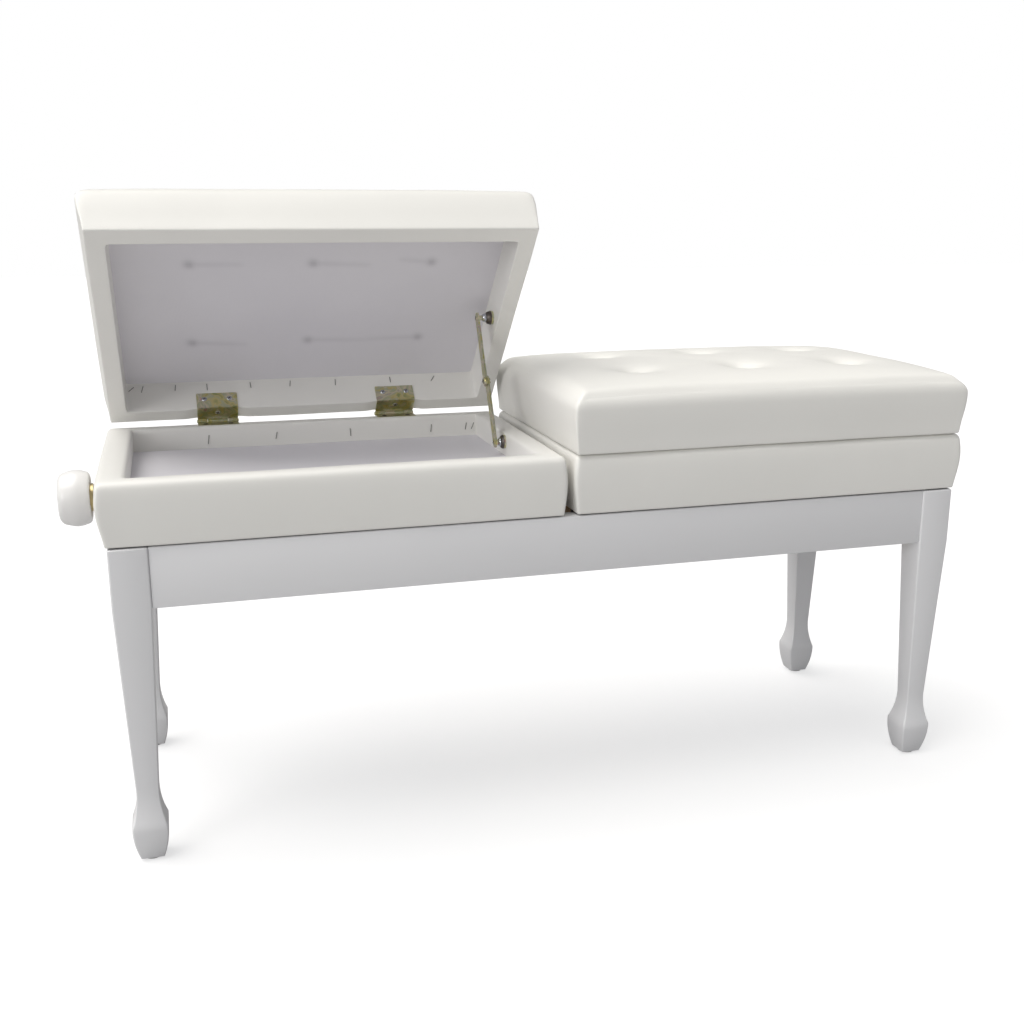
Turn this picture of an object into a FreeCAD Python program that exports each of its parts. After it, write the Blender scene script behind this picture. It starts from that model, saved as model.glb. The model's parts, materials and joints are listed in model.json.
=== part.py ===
import FreeCAD, Part
import math
import os
import Sketcher

# Double piano bench: one four-legged frame carries two padded storage boxes side by side.
# Each box stands on its own screw-driven scissor lift and has a hinged, tufted lid with a folding stay.
# X runs along the bench, Y from the front to the back and Z up. Sizes are in millimetres.

SIZES = {
    # the two seats
    "seat_length": 966, "seat_depth": 322, "seat_gap": 12,
    "box_bottom": 345.5, "box_top": 410, "box_corner": 8,
    "padding": 5, "board": 15, "inner_padding": 5, "board_top_cover": 4,
    "floor_top": 383.4, "floor_board": 6,
    # lids
    "lid_bottom": 413.5, "lid_recess": 43, "lid_panel": 6, "lid_top": 480,
    "lid_edge_roll": 14, "vinyl": 3, "lining": 2, "lid_angle": 46.2,
    "lid_board": 12, "lid_inner_padding": 3.5,
    "button_pitch_x": 136, "button_pitch_y": 66, "button_size": 20,
    "button_height": 4, "button_depth": 6, "button_well": 26,
    # hinges
    "hinge_y": 165.6, "hinge_z": 412, "hinge_offset": 111, "hinge_width": 49,
    "leaf": 1.2, "leaf_overhang": 0.5, "leaf_flange": 22, "knuckle": 6, "hinge_pin": 3,
    "knuckle_split": 12, "running_gap": 0.3, "screw_head": 7, "screw_height": 0.6,
    "screw_offset": 15,
    # leg frame
    "frame_length": 958.8, "frame_top": 343.9, "apron_bottom": 280,
    "apron_board": 20, "apron_setback": 2, "leg_top_width": 38.6, "ankle_width": 23.3,
    "ankle_height": 83, "foot_wide": 36.8, "foot_wide_height": 41, "foot_width": 24.2,
    "glide_size": 18, "glide": 3, "flare_radius": 105, "foot_radius": 110,
    "batten": 20, "batten_top": 318, "centre_batten": 120, "corner_block": 34,
    "block_lift": 4,
    "bolt": 8, "bolt_length": 46, "bolt_head": 13, "bolt_head_height": 5,
    # screw lift
    "lift_x": 415, "arm_length": 320, "base_pivot_z": 332, "top_pivot_z": 362,
    "arm_width": 20, "arm_plate": 4, "outer_arm_y": 93, "inner_arm_y": 87,
    "rail_y": 98, "rail_plate": 3, "rail_flange": 20, "rail_inner_x": 20,
    "base_web": 24, "top_web": 27, "rail_end_gap": 4,
    "slot_height": 10, "rod": 8, "rod_end": 1, "pivot_play": 0.1, "middle_play": 2, "slot_start": 88,
    "slot_end": 128, "spindle": 14, "nut_width": 24, "nut_height": 20, "nut_play": 2.4,
    "spindle_start": 66, "bearing_x": 70, "bearing_plate": 4,
    "bearing_width": 40, "bearing_drop": 12, "bush": 22, "bush_flange": 32, "bush_reach": 5,
    # knobs
    "knob_x": 500.4, "knob_end": 533.6, "knob_size": 62, "knob_neck": 52, "knob_dish": 3,
    "washer": 3, "washer_size": 30, "tang": 10, "tang_end": 520,
    # stays
    "stay_x": 42, "stay_plate": 2, "stay_width": 13, "stay_box_y": -3, "stay_box_z": 399.6,
    "stay_lower": 76.6, "stay_upper": 81, "stay_pin": 6, "bracket": 2.5,
    "stay_lid_y": 6.43, "stay_lid_z": 430.58, "stay_open_angle": 62.7,
    "stay_shut_angle": 159.0, "stay_upper_shut_angle": 182.5, "bracket_size": 16,
    "stay_rivet": 1,
    # the origin is on the floor under the middle of the whole bench with the left lid open
    "bench_y": -22,
}

# how far a cutting tool runs past the face that it opens
OVERSHOOT = 1
# the smallest length that counts, for comparing points
TOLERANCE = 1e-6

doc = FreeCAD.newDocument("PianoBench")
sheet = doc.addObject("Spreadsheet::Sheet", "Sizes")
for row, (alias, number) in enumerate(SIZES.items(), 1):
    sheet.set(f"A{row}", alias)
    sheet.set(f"B{row}", str(number))
    sheet.setAlias(f"B{row}", alias)
doc.recompute()


class Dim:
    """A dimension that carries its value and the sheet expression that gives it."""

    def __init__(self, value, text):
        self.value = float(value)
        self.text = text

    def __add__(self, other):
        return Dim(self.value + number_of(other), f"({self.text} + {text_of(other)})")

    def __radd__(self, other):
        return self + other

    def __sub__(self, other):
        return Dim(self.value - number_of(other), f"({self.text} - {text_of(other)})")

    def __rsub__(self, other):
        return -self + other

    def __neg__(self):
        return Dim(-self.value, f"(-1 * {self.text})")

    def __mul__(self, factor):
        return Dim(self.value * number_of(factor), f"({self.text} * {text_of(factor)})")

    def __rmul__(self, factor):
        return self * factor

    def __truediv__(self, divisor):
        return Dim(self.value / number_of(divisor), f"({self.text} / {text_of(divisor)})")


def number_of(dim):
    return dim.value if isinstance(dim, Dim) else float(dim)


def text_of(dim):
    return dim.text if isinstance(dim, Dim) else f"({dim})"


class Sizes:
    """Every cell of the sheet as a dimension: size.board, size.lid_top and so on."""

    def __getattr__(self, alias):
        return Dim(SIZES[alias], f"Sizes.{alias}")


size = Sizes()
nodes = []


def bind(item, **properties):
    for path, dim in properties.items():
        setattr(item, path, number_of(dim))
        item.setExpression(path, text_of(dim))


def put(item, x, y, z, rotation=FreeCAD.Rotation()):
    item.Placement = FreeCAD.Placement(
        FreeCAD.Vector(number_of(x), number_of(y), number_of(z)), rotation)
    for axis, dim in (("x", x), ("y", y), ("z", z)):
        item.setExpression(f"Placement.Base.{axis}", text_of(dim))
    return item


def block(name, xs, ys, zs):
    box = doc.addObject("Part::Box", name)
    bind(box, Length=xs[1] - xs[0], Width=ys[1] - ys[0], Height=zs[1] - zs[0])
    return put(box, xs[0], ys[0], zs[0])


ALONG_X = FreeCAD.Rotation(FreeCAD.Vector(0, 1, 0), 90)
ALONG_Y = FreeCAD.Rotation(FreeCAD.Vector(1, 0, 0), -90)
UPRIGHT = FreeCAD.Rotation()


def rod_x(name, xs, y, z, diameter):
    rod = doc.addObject("Part::Cylinder", name)
    bind(rod, Radius=diameter / 2, Height=xs[1] - xs[0])
    return put(rod, xs[0], y, z, ALONG_X)


def rod_y(name, x, ys, z, diameter):
    rod = doc.addObject("Part::Cylinder", name)
    bind(rod, Radius=diameter / 2, Height=ys[1] - ys[0])
    return put(rod, x, ys[0], z, ALONG_Y)


def rod_z(name, x, y, zs, diameter):
    rod = doc.addObject("Part::Cylinder", name)
    bind(rod, Radius=diameter / 2, Height=zs[1] - zs[0])
    return put(rod, x, y, zs[0], UPRIGHT)


def joined(name, pieces):
    fuse = doc.addObject("Part::MultiFuse", name)
    fuse.Shapes = pieces
    return fuse


def group(name, pieces):
    compound = doc.addObject("Part::Compound", name)
    compound.Links = pieces
    return compound


def cut(name, base, tools):
    tool = tools[0] if len(tools) == 1 else joined(f"{name}_tools", tools)
    result = doc.addObject("Part::Cut", name)
    result.Base = base
    result.Tool = tool
    return result


def common(name, one, other):
    result = doc.addObject("Part::Common", name)
    result.Base = one
    result.Tool = other
    return result


def node(label, pieces, turn=None):
    """One named sub-part, moved into the bench's own frame. turn rotates it as an opened lid."""
    compound = group(label, pieces)
    compound.Label = label
    shift = FreeCAD.Placement(FreeCAD.Vector(0, SIZES["bench_y"], 0), FreeCAD.Rotation())
    compound.Placement = shift if turn is None else shift * turn
    if turn is None:
        compound.setExpression("Placement.Base.y", "Sizes.bench_y")
    nodes.append(compound)
    return compound


def plane_of(body, role):
    return next(item for item in body.Origin.OriginFeatures if item.Role == role)


def outline(sketch, corners, arcs=None):
    """A closed outline through corners. arcs gives the radius of each bent side, + bulging right."""
    arcs = arcs or {}
    points = [FreeCAD.Vector(number_of(u), number_of(v), 0) for u, v in corners]
    count = len(points)
    for side in range(count):
        start, end = points[side], points[(side + 1) % count]
        if side in arcs:
            radius = number_of(arcs[side])
            chord = end - start
            middle = (start + end) / 2
            across = FreeCAD.Vector(chord.y, -chord.x, 0).normalize()
            sag = abs(radius) - math.sqrt(radius ** 2 - (chord.Length / 2) ** 2)
            crest = middle + across * math.copysign(sag, radius)
            sketch.addGeometry(Part.ArcOfCircle(start, crest, end), False)
        else:
            sketch.addGeometry(Part.LineSegment(start, end), False)
    ends = {}
    for side in range(count):
        start = points[side]
        first = sketch.getPoint(side, 1)
        ends[side] = (1, 2) if (first - start).Length < TOLERANCE else (2, 1)
    for side in range(count):
        after = (side + 1) % count
        sketch.addConstraint(
            Sketcher.Constraint("Coincident", side, ends[side][1], after, ends[after][0]))
    for side, (u, v) in enumerate(corners):
        for kind, dim in (("DistanceX", u), ("DistanceY", v)):
            index = sketch.addConstraint(
                Sketcher.Constraint(kind, -1, 1, side, ends[side][0], number_of(dim)))
            sketch.setExpression(f"Constraints[{index}]", text_of(dim))
        if side in arcs:
            radius = arcs[side] if number_of(arcs[side]) > 0 else -arcs[side]
            index = sketch.addConstraint(Sketcher.Constraint("Radius", side, number_of(radius)))
            sketch.setExpression(f"Constraints[{index}]", text_of(radius))


def padded_body(name, corners, bottom, height, roll=None, roll_top=False):
    """An upright prism made as a pad, with its upright edges or its top edges rounded by roll."""
    body = doc.addObject("PartDesign::Body", name)
    sketch = body.newObject("Sketcher::SketchObject", f"{name}_outline")
    sketch.AttachmentSupport = [(plane_of(body, "XY_Plane"), "")]
    sketch.MapMode = "FlatFace"
    outline(sketch, corners)
    pad = body.newObject("PartDesign::Pad", f"{name}_pad")
    pad.Profile = sketch
    bind(pad, Length=height)
    doc.recompute()
    if roll is not None:
        top = number_of(height)
        picked = []
        for index, edge in enumerate(pad.Shape.Edges, 1):
            heights = [vertex.Z for vertex in edge.Vertexes]
            upright = max(heights) - min(heights) > top / 2
            at_top = min(heights) > top - TOLERANCE
            if upright or (roll_top and at_top):
                picked.append(f"Edge{index}")
        fillet = body.newObject("PartDesign::Fillet", f"{name}_roll")
        fillet.Base = (pad, picked)
        bind(fillet, Radius=roll)
    return put(body, 0, 0, bottom)


def rectangle(xs, ys):
    return [(xs[0], ys[0]), (xs[1], ys[0]), (xs[1], ys[1]), (xs[0], ys[1])]


def turned_body(name, profile, axis_point, facing):
    """A solid of revolution about X. profile lists (along, radius) from the axis out and back."""
    body = doc.addObject("PartDesign::Body", name)
    sketch = body.newObject("Sketcher::SketchObject", f"{name}_profile")
    sketch.AttachmentSupport = [(plane_of(body, "XY_Plane"), "")]
    sketch.MapMode = "FlatFace"
    outline(sketch, profile)
    revolution = body.newObject("PartDesign::Revolution", f"{name}_turning")
    revolution.Profile = sketch
    revolution.ReferenceAxis = (sketch, ["H_Axis"])
    revolution.Angle = 360
    turn = UPRIGHT if facing > 0 else FreeCAD.Rotation(FreeCAD.Vector(0, 0, 1), 180)
    return put(body, *axis_point, turn)


def link(name, length, width, plate, holes):
    """A flat round-ended link along X from its first pivot at the origin, plate thick along Y."""
    middle = block(f"{name}_bar", (0, length), (0, plate), (-width / 2, width / 2))
    near = rod_y(f"{name}_near_end", 0, (0, plate), 0, width)
    far = rod_y(f"{name}_far_end", length, (0, plate), 0, width)
    bores = [rod_y(f"{name}_hole_{i}", at, (-plate, plate * 2), 0, bore)
             for i, (at, bore) in enumerate(holes)]
    return cut(name, joined(f"{name}_plate", [middle, near, far]), bores)


# ---------------------------------------------------------------- leg frame
half_frame = size.frame_length / 2
half_depth = size.seat_depth / 2
leg_inner_x = half_frame - size.leg_top_width
leg_inner_y = half_depth - size.leg_top_width


def leg_outline():
    """Half widths of a leg from the glide to the frame's top: spade foot, ankle, long taper."""
    foot = size.foot_width / 2
    wide = size.foot_wide / 2
    ankle = size.ankle_width / 2
    top = size.leg_top_width / 2
    rising = [(foot, size.glide), (wide, size.foot_wide_height), (ankle, size.ankle_height),
              (top, size.apron_bottom), (top, size.frame_top)]
    falling = [(-half, height) for half, height in reversed(rising)]
    last = len(rising) + len(falling) - 2
    bends = {0: size.foot_radius, 1: -size.flare_radius,
             last - 1: -size.flare_radius, last: size.foot_radius}
    return rising + falling, bends


def leg_slab(name, side_view):
    """The leg's outline as seen from the front or from the side, run through its full width."""
    sketch = doc.addObject("Sketcher::SketchObject", f"{name}_outline")
    corners, bends = leg_outline()
    outline(sketch, corners, bends)
    upright = FreeCAD.Rotation(FreeCAD.Vector(1, 0, 0), 90)
    if side_view:
        upright = FreeCAD.Rotation(FreeCAD.Vector(0, 0, 1), 90) * upright
    sketch.Placement = FreeCAD.Placement(FreeCAD.Vector(), upright)
    slab = doc.addObject("Part::Extrusion", name)
    slab.Base = sketch
    slab.DirMode = "Normal"
    slab.Solid = True
    slab.Symmetric = True
    bind(slab, LengthFwd=size.leg_top_width)
    return slab


def corner_bolt(name, sx, sy):
    """A hexagon-socket bolt on the diagonal through a corner block into the leg."""
    shank = doc.addObject("Part::Cylinder", f"{name}_shank")
    bind(shank, Radius=size.bolt / 2, Height=size.bolt_length)
    head = doc.addObject("Part::Cylinder", f"{name}_head")
    bind(head, Radius=size.bolt_head / 2, Height=size.bolt_head_height)
    put(head, 0, 0, -size.bolt_head_height)
    bolt = joined(name, [shank, head])
    outward = FreeCAD.Vector(sx, sy, 0)
    inset = size.corner_block / 2
    height = (size.apron_bottom + size.block_lift + size.batten_top) / 2
    turn = FreeCAD.Rotation(FreeCAD.Vector(0, 0, 1), outward)
    return put(bolt, (leg_inner_x - inset) * sx, (leg_inner_y - inset) * sy, height, turn)


def corner_brace(name, sx, sy):
    """A triangular block that fills the corner between two aprons, behind the leg."""
    reach = size.corner_block
    apron_x = half_frame - size.apron_setback - size.apron_board
    apron_y = half_depth - size.apron_setback - size.apron_board
    corners = [(leg_inner_x * sx, leg_inner_y * sy),
               (leg_inner_x * sx, apron_y * sy),
               ((leg_inner_x - reach) * sx, apron_y * sy),
               ((leg_inner_x - reach) * sx, leg_inner_y * sy),
               (leg_inner_x * sx, (leg_inner_y - reach) * sy),
               (apron_x * sx, (leg_inner_y - reach) * sy),
               (apron_x * sx, leg_inner_y * sy)]
    bottom = size.apron_bottom + size.block_lift
    return padded_body(name, corners, bottom, size.batten_top - bottom)


def make_frame():
    blocks = []
    bolts = []
    glides = []
    foot_x = half_frame - size.leg_top_width / 2
    foot_y = half_depth - size.leg_top_width / 2
    for end, sx in (("left", -1), ("right", 1)):
        for face, sy in (("front", -1), ("back", 1)):
            name = f"leg_{face}_{end}"
            bolt = corner_bolt(f"bolt_{face}_{end}", sx, sy)
            carved = common(f"{name}_carved", leg_slab(f"{name}_front_view", False),
                            leg_slab(f"{name}_side_view", True))
            put(carved, foot_x * sx, foot_y * sy, 0)
            node(name, [cut(f"{name}_drilled", carved, [bolt])])
            brace = corner_brace(f"brace_{face}_{end}", sx, sy)
            blocks.append(cut(f"brace_{face}_{end}_drilled", brace, [bolt]))
            bolts.append(bolt)
            glides.append(rod_z(f"glide_{face}_{end}", foot_x * sx, foot_y * sy,
                                (0, size.glide), size.glide_size))
    upright = (size.apron_bottom, size.frame_top)
    apron_y = half_depth - size.apron_setback
    apron_x = half_frame - size.apron_setback
    long_run = (-leg_inner_x, leg_inner_x)
    node("apron_front", [block("front_board", long_run, (-apron_y, size.apron_board - apron_y),
                               upright)])
    node("apron_back", [block("back_board", long_run, (apron_y - size.apron_board, apron_y),
                              upright)])
    short_run = (-leg_inner_y, leg_inner_y)
    node("end_aprons", [
        block("left_end_board", (-apron_x, size.apron_board - apron_x), short_run, upright),
        block("right_end_board", (apron_x - size.apron_board, apron_x), short_run, upright)])
    inner_y = apron_y - size.apron_board
    inner_x = apron_x - size.apron_board
    half_batten = size.centre_batten / 2
    node("centre_batten", [block("batten_board", (-half_batten, half_batten), (-inner_y, inner_y),
                                 (size.batten_top - size.batten, size.batten_top))])
    node("corner_blocks", blocks)
    node("leg_bolts", bolts)
    node("foot_glides", glides)
    node("base_rails", [base_rail(sx, sy, inner_x) for sx in (-1, 1) for sy in (-1, 1)])


def span(sx, low, high):
    """The range low to high measured outwards from the bench's middle, on one side of it."""
    return (low, high) if sx > 0 else (-high, -low)


def slotted(name, plate, sx, y_range, pivot_z):
    """A rail's web with its round pivot hole and its long slot."""
    low, high = y_range[0] - OVERSHOOT, y_range[1] + OVERSHOOT
    hole = rod_y(f"{name}_hole", size.lift_x * sx, (low, high), pivot_z,
                 size.rod + size.pivot_play)
    half_slot = size.slot_height / 2
    slot = block(f"{name}_slot", span(sx, size.slot_start, size.slot_end), (low, high),
                 (pivot_z - half_slot, pivot_z + half_slot))
    return cut(name, plate, [hole, slot])


def base_rail(sx, sy, end_x):
    """A steel angle from the centre batten to a corner block, with the scissor's lower pivots."""
    name = f"base_rail_{'left' if sx < 0 else 'right'}_{'front' if sy < 0 else 'back'}"
    run = span(sx, size.rail_inner_x, end_x)
    web_y = span(sy, size.rail_y, size.rail_y + size.rail_plate)
    foot_y = span(sy, size.rail_y, size.rail_y + size.rail_flange)
    top = size.batten_top + size.base_web
    web = block(f"{name}_web", run, web_y, (size.batten_top, top))
    foot = block(f"{name}_foot", run, foot_y, (size.batten_top, size.batten_top + size.rail_plate))
    return slotted(name, joined(f"{name}_angle", [web, foot]), sx, web_y, size.base_pivot_z)


# ---------------------------------------------------------------- one seat, left or right
seat_in = size.seat_gap / 2
seat_out = size.seat_length / 2
wall_in = size.padding + size.board + size.inner_padding
lid_wall = size.padding + size.lid_board + size.lid_inner_padding


def ring_boards(name, sx, outer, thickness, zs):
    """Four butt-jointed boards round a rectangle: front and back run through."""
    xs = span(sx, seat_in + outer, seat_out - outer)
    y = half_depth - outer
    return [
        block(f"{name}_front", xs, (-y, thickness - y), zs),
        block(f"{name}_back", xs, (y - thickness, y), zs),
        block(f"{name}_low_end", (xs[0], xs[0] + thickness), (thickness - y, y - thickness), zs),
        block(f"{name}_high_end", (xs[1] - thickness, xs[1]), (thickness - y, y - thickness), zs),
    ]


def spindle_bore(name, sx, diameter):
    """The hole for the spindle through a box's end wall."""
    run = span(sx, seat_out - wall_in - OVERSHOOT, seat_out + OVERSHOOT)
    return rod_x(name, run, 0, size.top_pivot_z, diameter)


def make_box(side, sx):
    zs = (size.box_bottom, size.box_top - size.board_top_cover)
    walls = ring_boards(f"{side}_wall", sx, size.padding, size.board, zs)
    # the end wall away from the bench's middle, which is the last board or the one before it
    bored = 3 if sx > 0 else 2
    walls[bored] = cut(f"{side}_wall_end_bored", walls[bored],
                       [spindle_bore(f"{side}_wall_bore", sx, size.bush)])
    node(f"{side}_box_walls", walls)

    height = size.box_top - size.box_bottom
    shell = padded_body(f"{side}_cover_block", rectangle(span(sx, seat_in, seat_out),
                        (-half_depth, half_depth)), size.box_bottom, height, size.box_corner)
    inside = block(f"{side}_cover_inside", span(sx, seat_in + wall_in, seat_out - wall_in),
                   (wall_in - half_depth, half_depth - wall_in),
                   (size.box_bottom - OVERSHOOT, size.box_top + OVERSHOOT))
    boards = joined(f"{side}_cover_boards",
                    ring_boards(f"{side}_cover_board", sx, size.padding, size.board,
                                (size.box_bottom - OVERSHOOT, zs[1])))
    node(f"{side}_box_cover", [cut(f"{side}_cover_ring", shell,
         [inside, boards, spindle_bore(f"{side}_cover_bore", sx, size.bush)])])

    floor_xs = span(sx, seat_in + wall_in, seat_out - wall_in)
    floor_y = half_depth - wall_in
    floor_zs = (size.floor_top - size.floor_board, size.floor_top)
    node(f"{side}_box_floor", [block(f"{side}_floor_panel", floor_xs, (-floor_y, floor_y), floor_zs)])


def make_top_rails(side, sx):
    """Two steel angles screwed under the box's floor, with the scissor's upper pivots in them."""
    top = size.floor_top - size.floor_board
    rails = []
    for face, sy in (("front", -1), ("back", 1)):
        name = f"{side}_top_rail_{face}"
        run = span(sx, size.bearing_x, seat_out - wall_in - size.rail_end_gap)
        web_y = span(sy, size.rail_y, size.rail_y + size.rail_plate)
        flange_y = span(sy, size.rail_y, size.rail_y + size.rail_flange)
        web = block(f"{name}_web", run, web_y, (top - size.top_web, top))
        flange = block(f"{name}_flange", run, flange_y, (top - size.rail_plate, top))
        rails.append(slotted(name, joined(f"{name}_angle", [web, flange]), sx, web_y,
                             size.top_pivot_z))
    node(f"{side}_top_rails", rails)


def make_bearings(side, sx):
    """The spindle's two bearings: a hung plate near the middle and a flanged bush in the end."""
    bore = size.spindle + size.pivot_play
    plate_end = size.bearing_x + size.bearing_plate
    half_plate = size.bearing_width / 2
    hole = rod_x(f"{side}_bearing_hole", span(sx, size.bearing_x - OVERSHOOT,
                 plate_end + OVERSHOOT), 0, size.top_pivot_z, bore)
    plate = block(f"{side}_bearing_plate", span(sx, size.bearing_x, plate_end),
                  (-half_plate, half_plate),
                  (size.top_pivot_z - size.bearing_drop, size.floor_top - size.floor_board))
    hung = cut(f"{side}_bearing", plate, [hole])
    sleeve = rod_x(f"{side}_bush_sleeve", span(sx, seat_out - wall_in, seat_out), 0,
                   size.top_pivot_z, size.bush)
    flange = rod_x(f"{side}_bush_flange", span(sx, seat_out, seat_out + size.bush_reach), 0,
                   size.top_pivot_z, size.bush_flange)
    hollow = rod_x(f"{side}_bush_hollow", span(sx, seat_out - wall_in - OVERSHOOT,
                   seat_out + size.bush_reach + OVERSHOOT), 0, size.top_pivot_z, bore)
    bush = cut(f"{side}_bush", joined(f"{side}_bush_solid", [sleeve, flange]), [hollow])
    node(f"{side}_spindle_bearings", [hung, bush])


def arm_angle():
    rise = SIZES["top_pivot_z"] - SIZES["base_pivot_z"]
    return math.degrees(math.asin(rise / SIZES["arm_length"]))


def arm_pair(side, sx, kind, arm_y, pivot_z, rising, holes):
    """Two equal arms in mirrored planes, from the outer fixed pivot towards the bench's middle."""
    angle = arm_angle() if rising else -arm_angle()
    arms = []
    for face, sy in (("front", -1), ("back", 1)):
        name = f"{side}_{kind}_arm_{face}"
        plate = link(name, size.arm_length, size.arm_width, size.arm_plate, holes)
        y_low = span(sy, arm_y, arm_y + size.arm_plate)[0]
        if sx > 0:
            turn = FreeCAD.Rotation(FreeCAD.Vector(0, 1, 0), 180 + angle)
        else:
            turn = FreeCAD.Rotation(FreeCAD.Vector(0, 1, 0), -angle)
        arms.append(put(plate, size.lift_x * sx, y_low, pivot_z, turn))
    return arms


def make_arms(side, sx):
    pivot_bore = size.rod + size.pivot_play
    middle_x = size.lift_x - size.arm_length / 2 * math.cos(math.radians(arm_angle()))
    middle_z = (size.base_pivot_z + size.top_pivot_z) / 2
    end_x = size.lift_x - size.arm_length * math.cos(math.radians(arm_angle()))
    half = size.arm_length / 2
    rail_out = size.rail_y + size.rail_plate + size.rod_end
    outer_top = size.outer_arm_y + size.arm_plate

    outer = arm_pair(side, sx, "outer", size.outer_arm_y, size.base_pivot_z, True,
                     [(0, size.rod), (half, size.rod), (size.arm_length, pivot_bore)])
    rods = [rod_y(f"{side}_outer_rod", size.lift_x * sx, (-rail_out, rail_out),
                  size.base_pivot_z, size.rod)]
    for face, sy in (("front", -1), ("back", 1)):
        rods.append(rod_y(f"{side}_middle_rivet_{face}", middle_x * sx,
                          span(sy, size.inner_arm_y - OVERSHOOT, outer_top), middle_z, size.rod))
    node(f"{side}_outer_arms", outer + rods)

    inner = arm_pair(side, sx, "inner", size.inner_arm_y, size.top_pivot_z, False,
                     [(0, size.rod), (half, size.rod + size.middle_play),
                      (size.arm_length, size.rod)])
    rods = [rod_y(f"{side}_inner_rod", end_x * sx, (-rail_out, rail_out),
                  size.base_pivot_z, size.rod)]
    for face, sy in (("front", -1), ("back", 1)):
        rods.append(rod_y(f"{side}_top_stub_{face}", size.lift_x * sx,
                          span(sy, size.inner_arm_y, rail_out), size.top_pivot_z, size.rod))
    node(f"{side}_inner_arms", inner + rods)

    half_nut = size.nut_width / 2
    body = block(f"{side}_nut_block", (end_x * sx - half_nut, end_x * sx + half_nut),
                 (-half_nut, half_nut),
                 (size.top_pivot_z - size.nut_height / 2, size.top_pivot_z + size.nut_height / 2))
    pins = rod_y(f"{side}_nut_pins", end_x * sx, (-rail_out, rail_out), size.top_pivot_z, size.rod)
    thread = rod_x(f"{side}_nut_thread", (end_x * sx - size.nut_width, end_x * sx + size.nut_width),
                   0, size.top_pivot_z, size.spindle + size.nut_play)
    node(f"{side}_lift_nut",
         [cut(f"{side}_nut", joined(f"{side}_nut_solid", [body, pins]), [thread])])


def make_knob(side, sx):
    shaft = rod_x(f"{side}_shaft", span(sx, size.spindle_start, size.knob_x), 0,
                  size.top_pivot_z, size.spindle)
    tang = rod_x(f"{side}_tang", span(sx, size.knob_x, size.tang_end), 0,
                 size.top_pivot_z, size.tang)
    washer = rod_x(f"{side}_washer", span(sx, size.knob_x - size.washer, size.knob_x), 0,
                   size.top_pivot_z, size.washer_size)
    node(f"{side}_spindle", [joined(f"{side}_spindle_solid", [shaft, tang, washer])])

    length = size.knob_end - size.knob_x
    tang_depth = size.tang_end - size.knob_x
    round_edge = size.knob_dish * 2
    profile = [(0, size.tang / 2), (0, size.washer_size / 2),
               (size.knob_dish, size.washer_size / 2 + size.knob_dish),
               (0, size.knob_neck / 2),
               (round_edge, size.knob_size / 2), (length - round_edge, size.knob_size / 2),
               (length, size.knob_neck / 2), (length, 0),
               (tang_depth, 0), (tang_depth, size.tang / 2)]
    knob = turned_body(f"{side}_knob_turned", profile,
                       (size.knob_x * sx, 0, size.top_pivot_z), sx)
    node(f"{side}_knob", [knob])


def button_places():
    """Columns along the lid and lines across it, counted from its middle."""
    return [(column, line) for column in (-1, 0, 1) for line in (-1, 1)]


def unit_centre(sx):
    return (seat_in + seat_out) / 2 * sx


def button_wells(name, sx, diameter, zs):
    return [rod_z(f"{name}_{column + 1}_{(line + 1) // 2}",
                  unit_centre(sx) + size.button_pitch_x * column, size.button_pitch_y * line,
                  zs, diameter)
            for column, line in button_places()]


def make_lid(side, sx, turn):
    rim_top = size.lid_bottom + size.lid_recess
    panel_top = rim_top + size.lid_panel
    inset = size.padding
    rim_bottom = size.lid_bottom + size.leaf
    node(f"{side}_lid_rim", ring_boards(f"{side}_rim", sx, inset, size.lid_board,
                                        (rim_bottom, rim_top)), turn)
    core_xs = span(sx, seat_in + inset, seat_out - inset)
    core_y = half_depth - inset
    node(f"{side}_lid_panel", [block(f"{side}_panel", core_xs, (-core_y, core_y),
                                     (rim_top, panel_top))], turn)
    well_bottom = size.lid_top - size.button_depth
    foam = padded_body(f"{side}_foam_block", rectangle(core_xs, (-core_y, core_y)), panel_top,
                       size.lid_top - size.vinyl - panel_top, size.lid_edge_roll - size.vinyl,
                       True)
    node(f"{side}_lid_foam", [cut(f"{side}_foam", foam,
         button_wells(f"{side}_foam_well", sx, size.button_well,
                      (well_bottom, size.lid_top + OVERSHOOT)))], turn)

    shell = padded_body(f"{side}_lid_block", rectangle(span(sx, seat_in, seat_out),
                        (-half_depth, half_depth)), size.lid_bottom,
                        size.lid_top - size.lid_bottom, size.lid_edge_roll, True)
    inner_xs = span(sx, seat_in + lid_wall, seat_out - lid_wall)
    inner_y = half_depth - lid_wall
    recess = block(f"{side}_lid_recess", inner_xs, (-inner_y, inner_y),
                   (size.lid_bottom - OVERSHOOT, rim_top + OVERSHOOT))
    core = block(f"{side}_lid_core", core_xs, (-core_y, core_y), (rim_bottom, panel_top))
    foam_space = padded_body(f"{side}_foam_space", rectangle(core_xs, (-core_y, core_y)),
                             panel_top, size.lid_top - size.vinyl - panel_top,
                             size.lid_edge_roll - size.vinyl, True)
    board_in = inset + size.lid_board
    inner_skin = cut(f"{side}_inner_skin",
                     block(f"{side}_inner_skin_block",
                           span(sx, seat_in + board_in, seat_out - board_in),
                           (board_in - half_depth, half_depth - board_in),
                           (rim_bottom, rim_top)), [recess])
    wells = button_wells(f"{side}_cover_well", sx, size.button_well,
                         (well_bottom, size.lid_top + OVERSHOOT))
    hollowed = cut(f"{side}_lid_shell", shell, [recess, core, foam_space] + wells)
    node(f"{side}_lid_cover", [joined(f"{side}_lid_skin", [hollowed, inner_skin])], turn)

    node(f"{side}_lid_lining", [block(f"{side}_lining", inner_xs, (-inner_y, inner_y),
                                      (rim_top - size.lining, rim_top))], turn)
    node(f"{side}_lid_buttons",
         button_wells(f"{side}_button", sx, size.button_size,
                      (well_bottom, well_bottom + size.button_height)), turn)


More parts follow.
